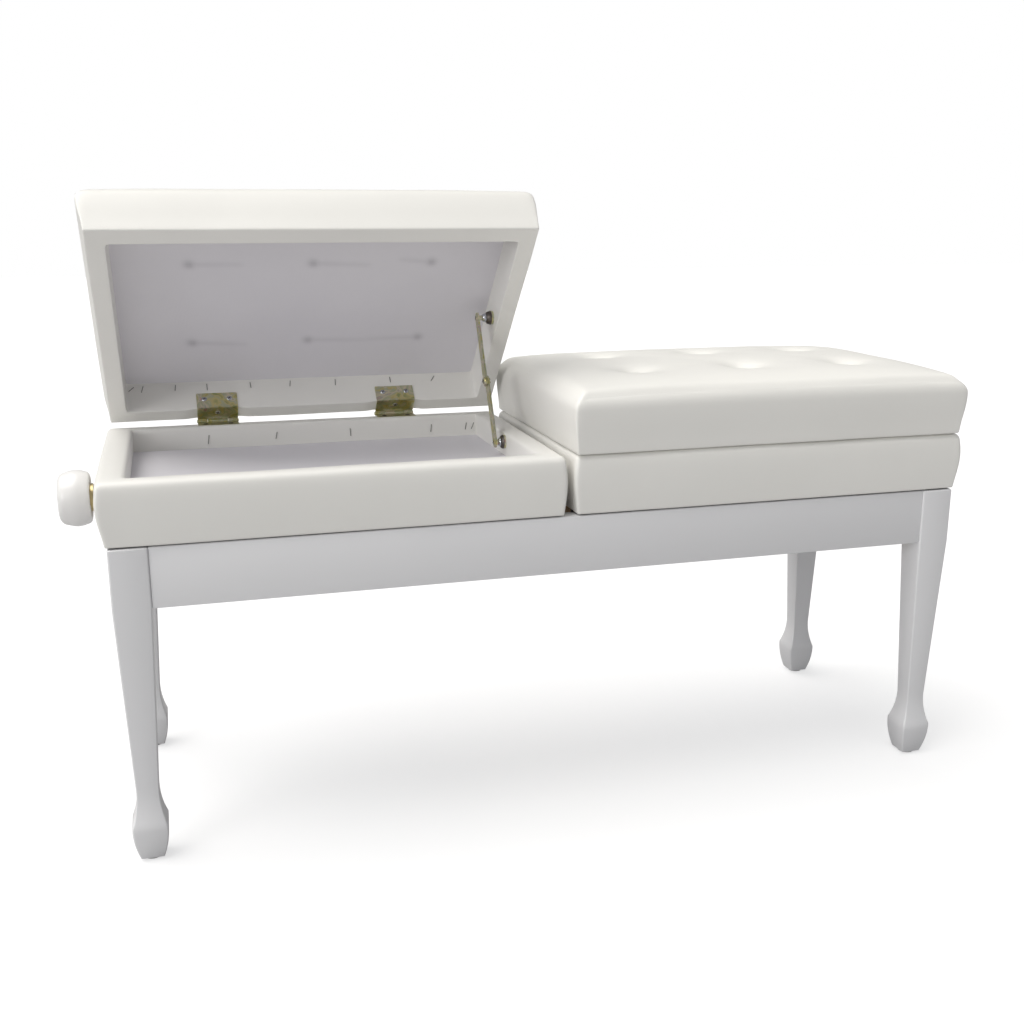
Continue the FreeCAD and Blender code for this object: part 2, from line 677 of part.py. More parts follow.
# ---------------------------------------------------------------- hinges and stays
def hinge_centres(sx):
    return [unit_centre(sx) + size.hinge_offset * way for way in (-1, 1)]


def knuckle(name, xs, bore):
    barrel = rod_x(f"{name}_barrel", xs, size.hinge_y, size.hinge_z, size.knuckle)
    hole = rod_x(f"{name}_hole", (xs[0] - OVERSHOOT, xs[1] + OVERSHOOT), size.hinge_y, size.hinge_z, bore)
    return barrel, hole


def make_hinges(side, sx, turn):
    inner_face = half_depth - lid_wall
    plate_end = half_depth + size.leaf_overhang
    box_leaves = []
    lid_leaves = []
    for index, centre in enumerate(hinge_centres(sx)):
        name = f"{side}_hinge_{index}"
        low = centre - size.hinge_width / 2
        high = centre + size.hinge_width / 2
        box_zs = (size.box_top, size.box_top + size.leaf)
        plate = block(f"{name}_box_plate", (low, high), (inner_face, plate_end), box_zs)
        tongues = []
        holes = []
        for end, xs in (("low", (low, low + size.knuckle_split)),
                        ("high", (high - size.knuckle_split, high))):
            barrel, hole = knuckle(f"{name}_box_{end}", xs, size.hinge_pin)
            tongues += [barrel, block(f"{name}_box_{end}_tongue", xs,
                                      (plate_end, size.hinge_y), box_zs)]
            holes.append(hole)
        box_leaves.append(cut(f"{name}_box_leaf",
                              joined(f"{name}_box_solid", [plate] + tongues), holes))
        box_leaves.append(rod_x(f"{name}_pin", (low, high), size.hinge_y, size.hinge_z,
                                size.hinge_pin))

        lid_zs = (size.lid_bottom - size.leaf, size.lid_bottom)
        middle = (low + size.knuckle_split + size.running_gap,
                  high - size.knuckle_split - size.running_gap)
        plate = block(f"{name}_lid_plate", (low, high),
                      (inner_face - size.leaf, plate_end), lid_zs)
        flange = block(f"{name}_lid_flange", (low, high), (inner_face - size.leaf, inner_face),
                       (size.lid_bottom, size.lid_bottom + size.leaf_flange))
        barrel, hole = knuckle(f"{name}_lid", middle, size.hinge_pin + size.pivot_play)
        tongue = block(f"{name}_lid_tongue", middle, (plate_end, size.hinge_y), lid_zs)
        lid_leaves.append(cut(f"{name}_lid_leaf",
                              joined(f"{name}_lid_solid", [plate, flange, barrel, tongue]), [hole]))
    node(f"{side}_box_hinge_leaves", box_leaves)
    node(f"{side}_lid_hinge_leaves", lid_leaves, turn)


def make_screws(side, sx, turn):
    """The hinges' visible screw heads."""
    inner_face = half_depth - lid_wall
    box_screws = []
    lid_screws = []
    line_y = (inner_face + half_depth) / 2
    leaf_top = size.box_top + size.leaf
    leaf_under = size.lid_bottom - size.leaf
    flange_y = inner_face - size.leaf
    for index, centre in enumerate(hinge_centres(sx)):
        for way in (-1, 1):
            tag = f"{side}_{index}_{way + 1}"
            box_screws.append(rod_z(f"{tag}_box_screw", centre + size.screw_offset * way, line_y,
                                    (leaf_top, leaf_top + size.screw_height), size.screw_head))
            lid_screws.append(rod_y(f"{tag}_flange_screw", centre + size.screw_offset * way,
                                    (flange_y - size.screw_height, flange_y),
                                    size.lid_bottom + size.leaf_flange / 2, size.screw_head))
        lid_screws.append(rod_z(f"{side}_{index}_rim_screw", centre, line_y,
                                (leaf_under - size.screw_height, leaf_under), size.screw_head))
    node(f"{side}_box_screws", box_screws)
    node(f"{side}_lid_screws", lid_screws, turn)


def stay_link(name, sx, plane_x, length, y, z, angle):
    """A stay arm from its own pivot, turned in the plane across the bench by angle from +Y."""
    bore = size.stay_pin + size.pivot_play
    plate = link(name, length, size.stay_width, size.stay_plate, [(0, bore)])
    across = FreeCAD.Rotation(FreeCAD.Vector(0, 0, 1), 90)
    lift = FreeCAD.Rotation(FreeCAD.Vector(1, 0, 0), angle)
    low_x = span(sx, plane_x, plane_x + size.stay_plate)[1]
    return put(plate, low_x, y, z, lift * across)


def make_stay(side, sx, turn):
    opened = turn is not None
    box_face = seat_in + wall_in
    lid_face = seat_in + lid_wall
    lower_x = size.stay_x
    upper_x = size.stay_x + size.stay_plate + size.running_gap
    lower_angle = SIZES["stay_open_angle"] if opened else SIZES["stay_shut_angle"]
    lower = stay_link(f"{side}_lower_link", sx, lower_x, size.stay_lower, size.stay_box_y,
                      size.stay_box_z, lower_angle)
    node(f"{side}_stay_lower_arm", [lower])
    # an opened lid turns its arm with it, so this angle is the one before that turn
    upper_angle = SIZES["stay_upper_shut_angle"]
    if opened:
        upper_angle = 180 + SIZES["stay_open_angle"] + SIZES["lid_angle"]
    upper = stay_link(f"{side}_upper_link", sx, upper_x, size.stay_upper, size.stay_lid_y,
                      size.stay_lid_z, upper_angle)
    node(f"{side}_stay_upper_arm", [upper], turn)
    box_plate = rod_x(f"{side}_box_bracket_plate", span(sx, box_face, box_face + size.bracket),
                      size.stay_box_y, size.stay_box_z, size.bracket_size)
    box_pin = rod_x(f"{side}_box_bracket_pin", span(sx, box_face, lower_x + size.stay_plate),
                    size.stay_box_y, size.stay_box_z, size.stay_pin)
    node(f"{side}_stay_box_bracket", [joined(f"{side}_box_bracket", [box_plate, box_pin])])
    lid_plate = rod_x(f"{side}_lid_bracket_plate", span(sx, lid_face, lid_face + size.bracket),
                      size.stay_lid_y, size.stay_lid_z, size.bracket_size)
    pin_end = upper_x + size.stay_plate + size.stay_rivet
    lid_pin = rod_x(f"{side}_lid_bracket_pin", span(sx, lid_face, pin_end),
                    size.stay_lid_y, size.stay_lid_z, size.stay_pin)
    node(f"{side}_stay_lid_bracket", [joined(f"{side}_lid_bracket", [lid_plate, lid_pin])], turn)


def opened_lid():
    """Turns a closed lid's pieces up about the hinge pins."""
    axis = FreeCAD.Vector(0, SIZES["hinge_y"], SIZES["hinge_z"])
    turning = FreeCAD.Rotation(FreeCAD.Vector(-1, 0, 0), SIZES["lid_angle"])
    return FreeCAD.Placement(FreeCAD.Vector(), turning, axis)


def make_seat(side, sx, turn):
    make_box(side, sx)
    make_top_rails(side, sx)
    make_bearings(side, sx)
    make_arms(side, sx)
    make_knob(side, sx)
    make_lid(side, sx, turn)
    make_hinges(side, sx, turn)
    make_screws(side, sx, turn)
    make_stay(side, sx, turn)


def check_and_write():
    doc.recompute()
    for item in doc.Objects:
        bad = [state for state in item.State if state in ("Invalid", "Error")]
        if bad:
            raise RuntimeError(f"{item.Name} is {bad}")
    os.makedirs("parts", exist_ok=True)
    for item in nodes:
        if item.Shape.isNull() or not item.Shape.isValid():
            raise RuntimeError(f"{item.Label} has no valid shape")
    for item in nodes:
        item.Shape.exportStep(f"parts/{item.Label}.step")
        print(item.Label, len(item.Shape.Solids), "solids", round(item.Shape.Volume))
    print(len(nodes), "sub-parts")


make_frame()
make_seat("left", -1, opened_lid())
make_seat("right", 1, None)
check_and_write()
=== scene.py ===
# %% [markdown]
# # A double piano bench
# A duet bench has one four-legged frame and two upholstered seats side by side. Each seat is a
# storage box on a screw lift, with a hinged, tufted lid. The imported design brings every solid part
# in at its real size and place. This notebook gives it its looks: padded vinyl, painted wood,
# plated hinges and a plain studio.

# %% Load the design
import json
import math
import bmesh
import bpy
from mathutils import Matrix, Vector, noise


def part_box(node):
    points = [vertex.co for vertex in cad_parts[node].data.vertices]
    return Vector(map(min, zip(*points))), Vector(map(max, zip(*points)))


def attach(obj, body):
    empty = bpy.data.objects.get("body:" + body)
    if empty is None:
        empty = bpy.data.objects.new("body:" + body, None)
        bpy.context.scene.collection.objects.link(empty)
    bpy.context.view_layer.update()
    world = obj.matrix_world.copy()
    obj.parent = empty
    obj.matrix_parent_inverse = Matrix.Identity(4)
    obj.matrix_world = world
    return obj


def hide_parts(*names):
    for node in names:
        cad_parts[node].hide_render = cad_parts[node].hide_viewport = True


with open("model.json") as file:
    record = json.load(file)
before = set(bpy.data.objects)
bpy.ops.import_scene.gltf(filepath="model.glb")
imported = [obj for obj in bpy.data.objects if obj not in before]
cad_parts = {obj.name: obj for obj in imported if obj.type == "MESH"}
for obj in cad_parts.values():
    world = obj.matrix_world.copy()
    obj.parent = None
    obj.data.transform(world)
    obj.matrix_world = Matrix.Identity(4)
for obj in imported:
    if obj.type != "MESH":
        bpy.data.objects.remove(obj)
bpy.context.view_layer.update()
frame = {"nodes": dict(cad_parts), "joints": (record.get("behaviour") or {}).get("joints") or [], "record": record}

# %% [markdown]
# ## Helpers
# Every new piece is a bmesh, shaped with operators and then turned into one mesh object that rides
# on a body of the design. The right-hand seat is modelled shut. Its mirror image makes the left
# one, and the left lid is then turned up about its hinge, so one recipe serves both seats.

# %% From a bmesh to a piece
MM = 0.001


def as_mesh(name, bm, sharp=40):
    bmesh.ops.recalc_face_normals(bm, faces=bm.faces)
    mesh = bpy.data.meshes.new(name)
    bm.to_mesh(mesh)
    bm.free()
    mesh.polygons.foreach_set("use_smooth", [True] * len(mesh.polygons))
    mesh.set_sharp_from_angle(angle=math.radians(sharp))
    return mesh


def as_piece(name, mesh, finishes, body, stands_for=()):
    for finish in finishes:
        mesh.materials.append(finish)
    piece = bpy.data.objects.new(name, mesh)
    bpy.context.scene.collection.objects.link(piece)
    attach(piece, body)
    if stands_for:
        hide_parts(*stands_for)
    return piece


# %% The opened lid's place
hinge = next(joint for joint in frame["joints"] if joint["name"] == "left_lid_hinge")
hinge_point = Vector(hinge["pos_m"])
open_angle = math.radians(-hinge["range_deg"][0])
OPENED = (Matrix.Translation(hinge_point) @ Matrix.Rotation(-open_angle, 4, "X")
          @ Matrix.Translation(-hinge_point))
MIRROR = Matrix.Scale(-1, 4, Vector((1, 0, 0)))
print("left lid stands open by", round(math.degrees(open_angle), 1), "degrees")


def both_sides(name, mesh, finishes, part, stands_for=()):
    """The right-hand piece from mesh, and the left-hand one from its mirror image."""
    made = []
    for side in ("right", "left"):
        shape = mesh if side == "right" else mesh.copy()
        if side == "left":
            shape.transform(MIRROR)
            shape.flip_normals()
            if part == "lid":
                shape.transform(OPENED)
        replaced = [f"{side}_{node}" for node in stands_for]
        shape.name = f"{side}_{name}"
        finish = finishes if side == "right" else ()
        made.append(as_piece(f"{side}_{name}", shape, finish, f"{side}_{part}", replaced))
    return made


# %% Small shapes
def add_block(bm, low, high):
    """A box between two corners, returned as its vertices."""
    size = Vector(high) - Vector(low)
    centre = (Vector(high) + Vector(low)) / 2
    place = Matrix.Translation(centre) @ Matrix.Diagonal(size).to_4x4()
    return bmesh.ops.create_cube(bm, size=1, matrix=place)["verts"]


def edges_of(verts):
    return list({edge for vert in verts for edge in vert.link_edges})


def along(edge, axis):
    run = edge.verts[1].co - edge.verts[0].co
    return abs(run[axis]) > 0.9 * run.length


def soften(bm, edges, offset, segments):
    return bmesh.ops.bevel(bm, geom=edges, offset=offset, segments=segments, profile=0.5,
                           affect="EDGES", material=-1)


def slice_at(bm, axis, places):
    """Cuts the whole mesh with planes across one axis, so that it can bend there."""
    normal = Vector([1 if i == axis else 0 for i in range(3)])
    for place in places:
        geom = list(bm.verts) + list(bm.edges) + list(bm.faces)
        bmesh.ops.bisect_plane(bm, geom=geom, plane_co=normal * place, plane_no=normal, dist=1e-6)


def slice_evenly(bm, axis, low, high, step):
    count = max(1, round((high - low) / step))
    slice_at(bm, axis, [low + (high - low) * i / count for i in range(1, count)])


def slice_near(bm, axis, low, high, depths):
    """Extra cuts a few millimetres inside both ends, where an edge will be rounded."""
    slice_at(bm, axis, [low + depth for depth in depths] + [high - depth for depth in depths])


def round_off(vert, *faces, fullness=2):
    """Pulls a point near a square edge or corner onto an ellipse or ball.

    Each face is (axis, way it faces, limit, how far the rounding reaches in from it). A fullness
    above 2 keeps an upright corner squarer.
    """
    depths = [(limit - vert.co[axis]) * way for axis, way, limit, reach in faces]
    if min(depths) < -1e-6:
        return
    near = [(face, 1 - depth / face[3]) for face, depth in zip(faces, depths) if depth < face[3]]
    if len(near) < 2:
        return
    across = sum(share ** fullness for face, share in near if face[0] < 2) ** (1 / fullness)
    upward = max([share for face, share in near if face[0] == 2], default=0)
    pull = max(share for _, share in near) / math.hypot(across, upward)
    for (axis, way, limit, reach), share in near:
        vert.co[axis] = limit - way * reach * (1 - share * pull)


def nearest_sides(point, low, high, reach):
    """The block's side faces that a point is nearest to, one across each of X and Y."""
    sides = []
    for axis in (0, 1):
        way = 1 if point[axis] > (low[axis] + high[axis]) / 2 else -1
        sides.append((axis, way, high[axis] if way > 0 else low[axis], reach))
    return sides


def extrude(bm, faces):
    """Extrudes a region of faces and gives its moved copy. The faces left behind are removed."""
    edges = {edge for face in faces for edge in face.edges}
    verts = {vert for face in faces for vert in face.verts}
    made = bmesh.ops.extrude_face_region(bm, geom=[*faces, *edges, *verts])["geom"]
    moved = [item for item in made if isinstance(item, bmesh.types.BMVert)]
    return moved, [item for item in made if isinstance(item, bmesh.types.BMFace)]


def smoothstep(low, high, value):
    t = min(1.0, max(0.0, (value - low) / (high - low)))
    return t * t * (3 - 2 * t)


# %% [markdown]
# ## Finishes
# Real finishes are never one flat colour. Each effect that several materials share, such as fine
# grain or slow mottling, is a node group with named inputs, built once. The materials then place
# the group with their own scale and strength.

# %% Node group helper
def new_group(name, inputs, outputs):
    group = bpy.data.node_groups.new(name, "ShaderNodeTree")
    for label, kind, value in inputs:
        socket = group.interface.new_socket(label, in_out="INPUT", socket_type=kind)
        socket.default_value = value
    for label, kind in outputs:
        group.interface.new_socket(label, in_out="OUTPUT", socket_type=kind)
    return group, group.nodes.new("NodeGroupInput"), group.nodes.new("NodeGroupOutput")


def add_node(tree, kind, links=(), **values):
    """A node with its properties and sockets set. links is (input name, source socket) pairs."""
    made = tree.nodes.new(kind)
    for key, value in values.items():
        if hasattr(made, key):
            setattr(made, key, value)
        else:
            made.inputs[key.replace("_", " ")].default_value = value
    for target, source in links:
        tree.links.new(source, made.inputs[target])
    return made


def arithmetic(tree, operation, first, second):
    made = tree.nodes.new("ShaderNodeMath")
    made.operation = operation
    for index, value in enumerate((first, second)):
        if isinstance(value, (int, float)):
            made.inputs[index].default_value = value
        else:
            tree.links.new(value, made.inputs[index])
    return made.outputs[0]


# %% [markdown]
# ### Soft mottling
# Vinyl, paint and cloth all vary a little in tone over a hand's breadth. A slow noise blends two
# near colours, which is cheaper and calmer than painting a map by hand.

# %% Mottling group
def make_mottle():
    group, given, result = new_group(
        "soft mottling",
        [("First", "NodeSocketColor", (1, 1, 1, 1)), ("Second", "NodeSocketColor", (1, 1, 1, 1)),
         ("Scale", "NodeSocketFloat", 10.0), ("Contrast", "NodeSocketFloat", 1.0)],
        [("Color", "NodeSocketColor"), ("Mask", "NodeSocketFloat")])
    place = add_node(group, "ShaderNodeTexCoord")
    cloud = add_node(group, "ShaderNodeTexNoise", [("Vector", place.outputs["Object"]),
                     ("Scale", given.outputs["Scale"])], Detail=3.0)
    centred = arithmetic(group, "SUBTRACT", cloud.outputs["Fac"], 0.5)
    spread = arithmetic(group, "MULTIPLY", centred, given.outputs["Contrast"])
    mask = add_node(group, "ShaderNodeClamp", [("Value", arithmetic(group, "ADD", spread, 0.5))])
    blend = add_node(group, "ShaderNodeMix", data_type="RGBA")
    group.links.new(mask.outputs[0], blend.inputs["Factor"])
    group.links.new(given.outputs["First"], blend.inputs[6])
    group.links.new(given.outputs["Second"], blend.inputs[7])
    group.links.new(blend.outputs[2], result.inputs["Color"])
    group.links.new(mask.outputs[0], result.inputs["Mask"])
    return group


MOTTLE = make_mottle()
print("group", MOTTLE.name)

# %% [markdown]
# ### Fine grain
# Embossed vinyl has small pebbles with creases between them. Voronoi cells give the pebbles and a
# finer noise breaks them up. The group puts out a height, which each material feeds to its bump.

# %% Grain group
def make_grain():
    group, given, result = new_group(
        "fine grain",
        [("Pebble scale", "NodeSocketFloat", 700.0), ("Dust scale", "NodeSocketFloat", 2000.0),
         ("Dust share", "NodeSocketFloat", 0.3)],
        [("Height", "NodeSocketFloat")])
    place = add_node(group, "ShaderNodeTexCoord")
    pebbles = add_node(group, "ShaderNodeTexVoronoi", [("Vector", place.outputs["Object"]),
                       ("Scale", given.outputs["Pebble scale"])])
    dust = add_node(group, "ShaderNodeTexNoise", [("Vector", place.outputs["Object"]),
                    ("Scale", given.outputs["Dust scale"])], Detail=2.0)
    dusted = arithmetic(group, "MULTIPLY", dust.outputs["Fac"], given.outputs["Dust share"])
    height = arithmetic(group, "SUBTRACT", dusted, pebbles.outputs["Distance"])
    group.links.new(height, result.inputs["Height"])
    return group


GRAIN = make_grain()
print("group", GRAIN.name)


# %% Material helper
def place_group(tree, group, **values):
    made = tree.nodes.new("ShaderNodeGroup")
    made.node_tree = group
    for key, value in values.items():
        made.inputs[key.replace("_", " ")].default_value = value
    return made


def new_finish(name, roughness, metallic=0.0, **extra):
    """A material with only its Principled shader, whose constant values sit on its own sockets."""
    finish = bpy.data.materials.new(name)
    finish.use_nodes = True
    tree = finish.node_tree
    shader = tree.nodes["Principled BSDF"]
    shader.inputs["Roughness"].default_value = roughness
    shader.inputs["Metallic"].default_value = metallic
    for key, value in extra.items():
        shader.inputs[key.replace("_", " ")].default_value = value
    return finish, tree, shader


def feed_colour(tree, shader, first, second, scale, contrast=1.0):
    mottle = place_group(tree, MOTTLE, First=(*first, 1), Second=(*second, 1), Scale=scale,
                         Contrast=contrast)
    tree.links.new(mottle.outputs["Color"], shader.inputs["Base Color"])
    return mottle


def feed_bump(tree, shader, height, strength, distance):
    bump = add_node(tree, "ShaderNodeBump", [("Height", height)], Strength=strength,
                    Distance=distance)
    tree.links.new(bump.outputs["Normal"], shader.inputs["Normal"])
    return bump


def feed_roughness(tree, shader, mask, low, high):
    spread = add_node(tree, "ShaderNodeMapRange", [("Value", mask)], To_Min=low, To_Max=high)
    tree.links.new(spread.outputs[0], shader.inputs["Roughness"])


# %% [markdown]
# ### Padded vinyl
# The seats are covered in warm white upholstery vinyl: soft, slightly waxy, with a shallow grain.
# A mid roughness and a little coat give the broad highlights that roll over its padded edges.

# %% Vinyl
def make_vinyl():
    finish, tree, shader = new_finish("seat vinyl", 0.42, Coat_Weight=0.12, Coat_Roughness=0.35)
    mottle = feed_colour(tree, shader, (0.87, 0.86, 0.825), (0.83, 0.82, 0.785), 9.0, 1.3)
    feed_roughness(tree, shader, mottle.outputs["Mask"], 0.38, 0.47)
    grain = place_group(tree, GRAIN, Pebble_scale=900.0, Dust_scale=2500.0)
    feed_bump(tree, shader, grain.outputs["Height"], 0.18, 0.0004)
    return finish


VINYL = make_vinyl()

# %% [markdown]
# ### Painted frame
# The legs and aprons carry a sprayed white enamel, cooler and shinier than the vinyl. Sprayed
# paint settles in a very shallow orange peel, so a slow noise feeds the bump.

# %% Paint
def make_paint():
    finish, tree, shader = new_finish("frame enamel", 0.3, Coat_Weight=0.25, Coat_Roughness=0.15)
    mottle = feed_colour(tree, shader, (0.80, 0.80, 0.815), (0.775, 0.775, 0.79), 6.0)
    feed_roughness(tree, shader, mottle.outputs["Mask"], 0.26, 0.36)
    place = add_node(tree, "ShaderNodeTexCoord")
    peel = add_node(tree, "ShaderNodeTexNoise", [("Vector", place.outputs["Object"])],
                    Scale=260.0, Detail=2.0)
    feed_bump(tree, shader, peel.outputs["Fac"], 0.06, 0.0006)
    return finish


PAINT = make_paint()

# %% [markdown]
# ### Lining cloth
# The boxes and lids are lined with a thin, pale lilac-grey cloth. Two fine wave patterns at right
# angles make its weave. A mask stored on the mesh darkens it over the tufting knots.

# %% Lining
KNOT_MASK = "knot_shadow"


def make_lining():
    finish, tree, shader = new_finish("lining cloth", 0.9, Sheen_Weight=0.15)
    mottle = place_group(tree, MOTTLE, First=(0.76, 0.745, 0.785, 1), Second=(0.82, 0.805, 0.84, 1),
                         Scale=7.0, Contrast=1.4)
    shadow = add_node(tree, "ShaderNodeAttribute", attribute_name=KNOT_MASK)
    blend = add_node(tree, "ShaderNodeMix", data_type="RGBA")
    tree.links.new(shadow.outputs["Fac"], blend.inputs["Factor"])
    tree.links.new(mottle.outputs["Color"], blend.inputs[6])
    blend.inputs[7].default_value = (0.22, 0.21, 0.24, 1)
    tree.links.new(blend.outputs[2], shader.inputs["Base Color"])
    place = add_node(tree, "ShaderNodeTexCoord")
    threads = [add_node(tree, "ShaderNodeTexWave", [("Vector", place.outputs["Object"])],
                        bands_direction=direction, Scale=420.0, Distortion=0.6)
               for direction in ("X", "DIAGONAL")]
    weave = arithmetic(tree, "MAXIMUM", threads[0].outputs["Fac"], threads[1].outputs["Fac"])
    feed_bump(tree, shader, weave, 0.25, 0.0003)
    return finish


LINING = make_lining()

# %% [markdown]
# ### Metals
# The hinges and stays are zinc plated and yellow passivated, which leaves patches of olive, gold
# and pink. A colour ramp over a noise gives those patches. The lift's steel is plain and grey.

# %% Plated and plain metals
def make_passivated():
    finish, tree, shader = new_finish("yellow zinc plating", 0.34, 1.0)
    place = add_node(tree, "ShaderNodeTexCoord")
    patches = add_node(tree, "ShaderNodeTexNoise", [("Vector", place.outputs["Object"])],
                       Scale=55.0, Detail=2.5, Distortion=1.4)
    ramp = add_node(tree, "ShaderNodeValToRGB", [("Fac", patches.outputs["Fac"])])
    ramp.color_ramp.elements[0].position = 0.30
    ramp.color_ramp.elements[0].color = (0.36, 0.40, 0.19, 1)
    ramp.color_ramp.elements[1].position = 0.72
    ramp.color_ramp.elements[1].color = (0.74, 0.44, 0.40, 1)
    for position, colour in ((0.42, (0.66, 0.58, 0.28, 1)), (0.50, (0.50, 0.53, 0.36, 1)),
                             (0.58, (0.72, 0.64, 0.48, 1)), (0.65, (0.48, 0.50, 0.40, 1))):
        ramp.color_ramp.elements.new(position).color = colour
    tree.links.new(ramp.outputs["Color"], shader.inputs["Base Color"])
    feed_roughness(tree, shader, patches.outputs["Fac"], 0.25, 0.45)
    feed_bump(tree, shader, patches.outputs["Fac"], 0.05, 0.0005)
    return finish


def make_metal(name, first, second, roughness, scale=60.0):
    finish, tree, shader = new_finish(name, roughness, 1.0)
    mottle = feed_colour(tree, shader, first, second, scale, 1.5)
    feed_roughness(tree, shader, mottle.outputs["Mask"], roughness * 0.75, roughness * 1.25)
    grain = place_group(tree, GRAIN, Pebble_scale=1500.0, Dust_scale=4000.0, Dust_share=0.6)
    feed_bump(tree, shader, grain.outputs["Height"], 0.06, 0.0003)
    return finish


ZINC = make_passivated()
STEEL = make_metal("plain lift steel", (0.42, 0.42, 0.43), (0.30, 0.30, 0.31), 0.42, 25.0)
SCREW = make_metal("bright screw steel", (0.62, 0.64, 0.68), (0.45, 0.46, 0.50), 0.26)
# This dark metal is the blackened screws' own colour, and it is also painted shade in the crossed screw recesses
# and in the knob's hollow back.
BLACKENED_AND_SHADE = make_metal("blackened screw and painted shade", (0.10, 0.09, 0.09), (0.16, 0.14, 0.12), 0.4)
BRASS = make_metal("turned brass", (0.72, 0.60, 0.34), (0.60, 0.48, 0.24), 0.3)
WIRE = make_metal("staple wire", (0.33, 0.32, 0.30), (0.24, 0.23, 0.22), 0.35)


# %% [markdown]
# ### Knob enamel, wood, foam and glides
# The knobs are turned and enamelled to a high gloss. Bare wood and plywood hide inside the frame
# and the covers, and get a simple stretched grain, so that an opened-up bench still looks right.

# %% The other finishes
def make_gloss():
    finish, tree, shader = new_finish("knob enamel", 0.36, Coat_Weight=0.3, Coat_Roughness=0.05)
    feed_colour(tree, shader, (0.85, 0.84, 0.83), (0.82, 0.81, 0.80), 30.0)
    grain = place_group(tree, GRAIN, Pebble_scale=300.0, Dust_scale=900.0)
    feed_bump(tree, shader, grain.outputs["Height"], 0.02, 0.0004)
    return finish


def make_wood(name, light, dark, stretch):
    finish, tree, shader = new_finish(name, 0.6)
    place = add_node(tree, "ShaderNodeTexCoord")
    mapping = add_node(tree, "ShaderNodeMapping", [("Vector", place.outputs["Object"])])
    mapping.inputs["Scale"].default_value = stretch
    grain = add_node(tree, "ShaderNodeTexNoise", [("Vector", mapping.outputs["Vector"])],
                     Scale=6.0, Detail=6.0, Distortion=0.4)
    ramp = add_node(tree, "ShaderNodeValToRGB", [("Fac", grain.outputs["Fac"])])
    ramp.color_ramp.elements[0].position = 0.35
    ramp.color_ramp.elements[0].color = (*dark, 1)
    ramp.color_ramp.elements[1].position = 0.65
    ramp.color_ramp.elements[1].color = (*light, 1)
    tree.links.new(ramp.outputs["Color"], shader.inputs["Base Color"])
    feed_bump(tree, shader, grain.outputs["Fac"], 0.15, 0.0006)
    return finish


def make_plain(name, first, second, roughness):
    finish, tree, shader = new_finish(name, roughness)
    feed_colour(tree, shader, first, second, 40.0)
    grain = place_group(tree, GRAIN, Pebble_scale=500.0, Dust_scale=1500.0)
    feed_bump(tree, shader, grain.outputs["Height"], 0.3, 0.0006)
    return finish


GLOSS = make_gloss()
BOARD = make_wood("covered plywood", (0.62, 0.46, 0.28), (0.45, 0.31, 0.17), (1, 14, 14))
BARE = make_wood("bare hardwood", (0.58, 0.40, 0.22), (0.42, 0.27, 0.13), (14, 1, 14))
FOAM = make_plain("upholstery foam", (0.85, 0.78, 0.50), (0.80, 0.72, 0.45), 0.95)
NYLON = make_plain("nylon glide", (0.70, 0.70, 0.68), (0.64, 0.64, 0.62), 0.5)
print(len(bpy.data.materials), "materials")

# %% [markdown]
# ## Finishes on the design's own parts
# A part whose designed shape is right keeps its mesh and only gets its finish. That covers the
# lift's arms, rails and nuts, the boards under the covers and the small fittings.

# %% Dress the design's parts
SLOT_FINISH = {
    "frame_paint": PAINT, "raw_wood": BARE, "seat_board": BOARD, "seat_vinyl": VINYL,
    "lining_fabric": LINING, "seat_foam": FOAM, "lift_steel": STEEL, "zinc_steel": ZINC,
    "screw_steel": SCREW, "bearing_brass": BRASS, "knob_gloss": GLOSS, "glide_plastic": NYLON,
}
for entry in frame["record"]["subparts"]:
    part = frame["nodes"][entry["node"]]
    part.data.materials.clear()
    part.data.materials.append(SLOT_FINISH[entry["material_slot"]])
print("dressed", len(frame["nodes"]), "designed parts")

# %% [markdown]
# ## Legs
# Each leg is a square post that tapers to a slim ankle and swells into a spade foot with a hard
# rim. It could be carved with booleans. Here a rounded square is extruded up level by level and
# scaled to the leg's width at each level, which keeps clean loops and lets the arrises round off.

# %% The leg's width at each height
APRON_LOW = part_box("apron_front")[0].z
GLIDE_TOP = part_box("foot_glides")[1].z
LEG_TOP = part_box("leg_front_left")[1].z
FOOT_WIDTH, RIM_WIDTH, ANKLE_WIDTH, TOP_WIDTH = 24.2 * MM, 36.8 * MM, 23.3 * MM, 38.6 * MM
RIM_HEIGHT, ANKLE_HEIGHT = 41 * MM, 83 * MM


def leg_width(height):
    """Swelling foot, hollow flare above its rim, long straight taper, square block at the top."""
    if height < RIM_HEIGHT:
        t = (height - GLIDE_TOP) / (RIM_HEIGHT - GLIDE_TOP)
        return FOOT_WIDTH + (RIM_WIDTH - FOOT_WIDTH) * t + 2 * 1.7 * MM * 4 * t * (1 - t)
    if height < ANKLE_HEIGHT:
        t = (height - RIM_HEIGHT) / (ANKLE_HEIGHT - RIM_HEIGHT)
        return RIM_WIDTH + (ANKLE_WIDTH - RIM_WIDTH) * t - 2 * 2.2 * MM * 4 * t * (1 - t)
    t = min(1.0, (height - ANKLE_HEIGHT) / (APRON_LOW - ANKLE_HEIGHT))
    return ANKLE_WIDTH + (TOP_WIDTH - ANKLE_WIDTH) * t


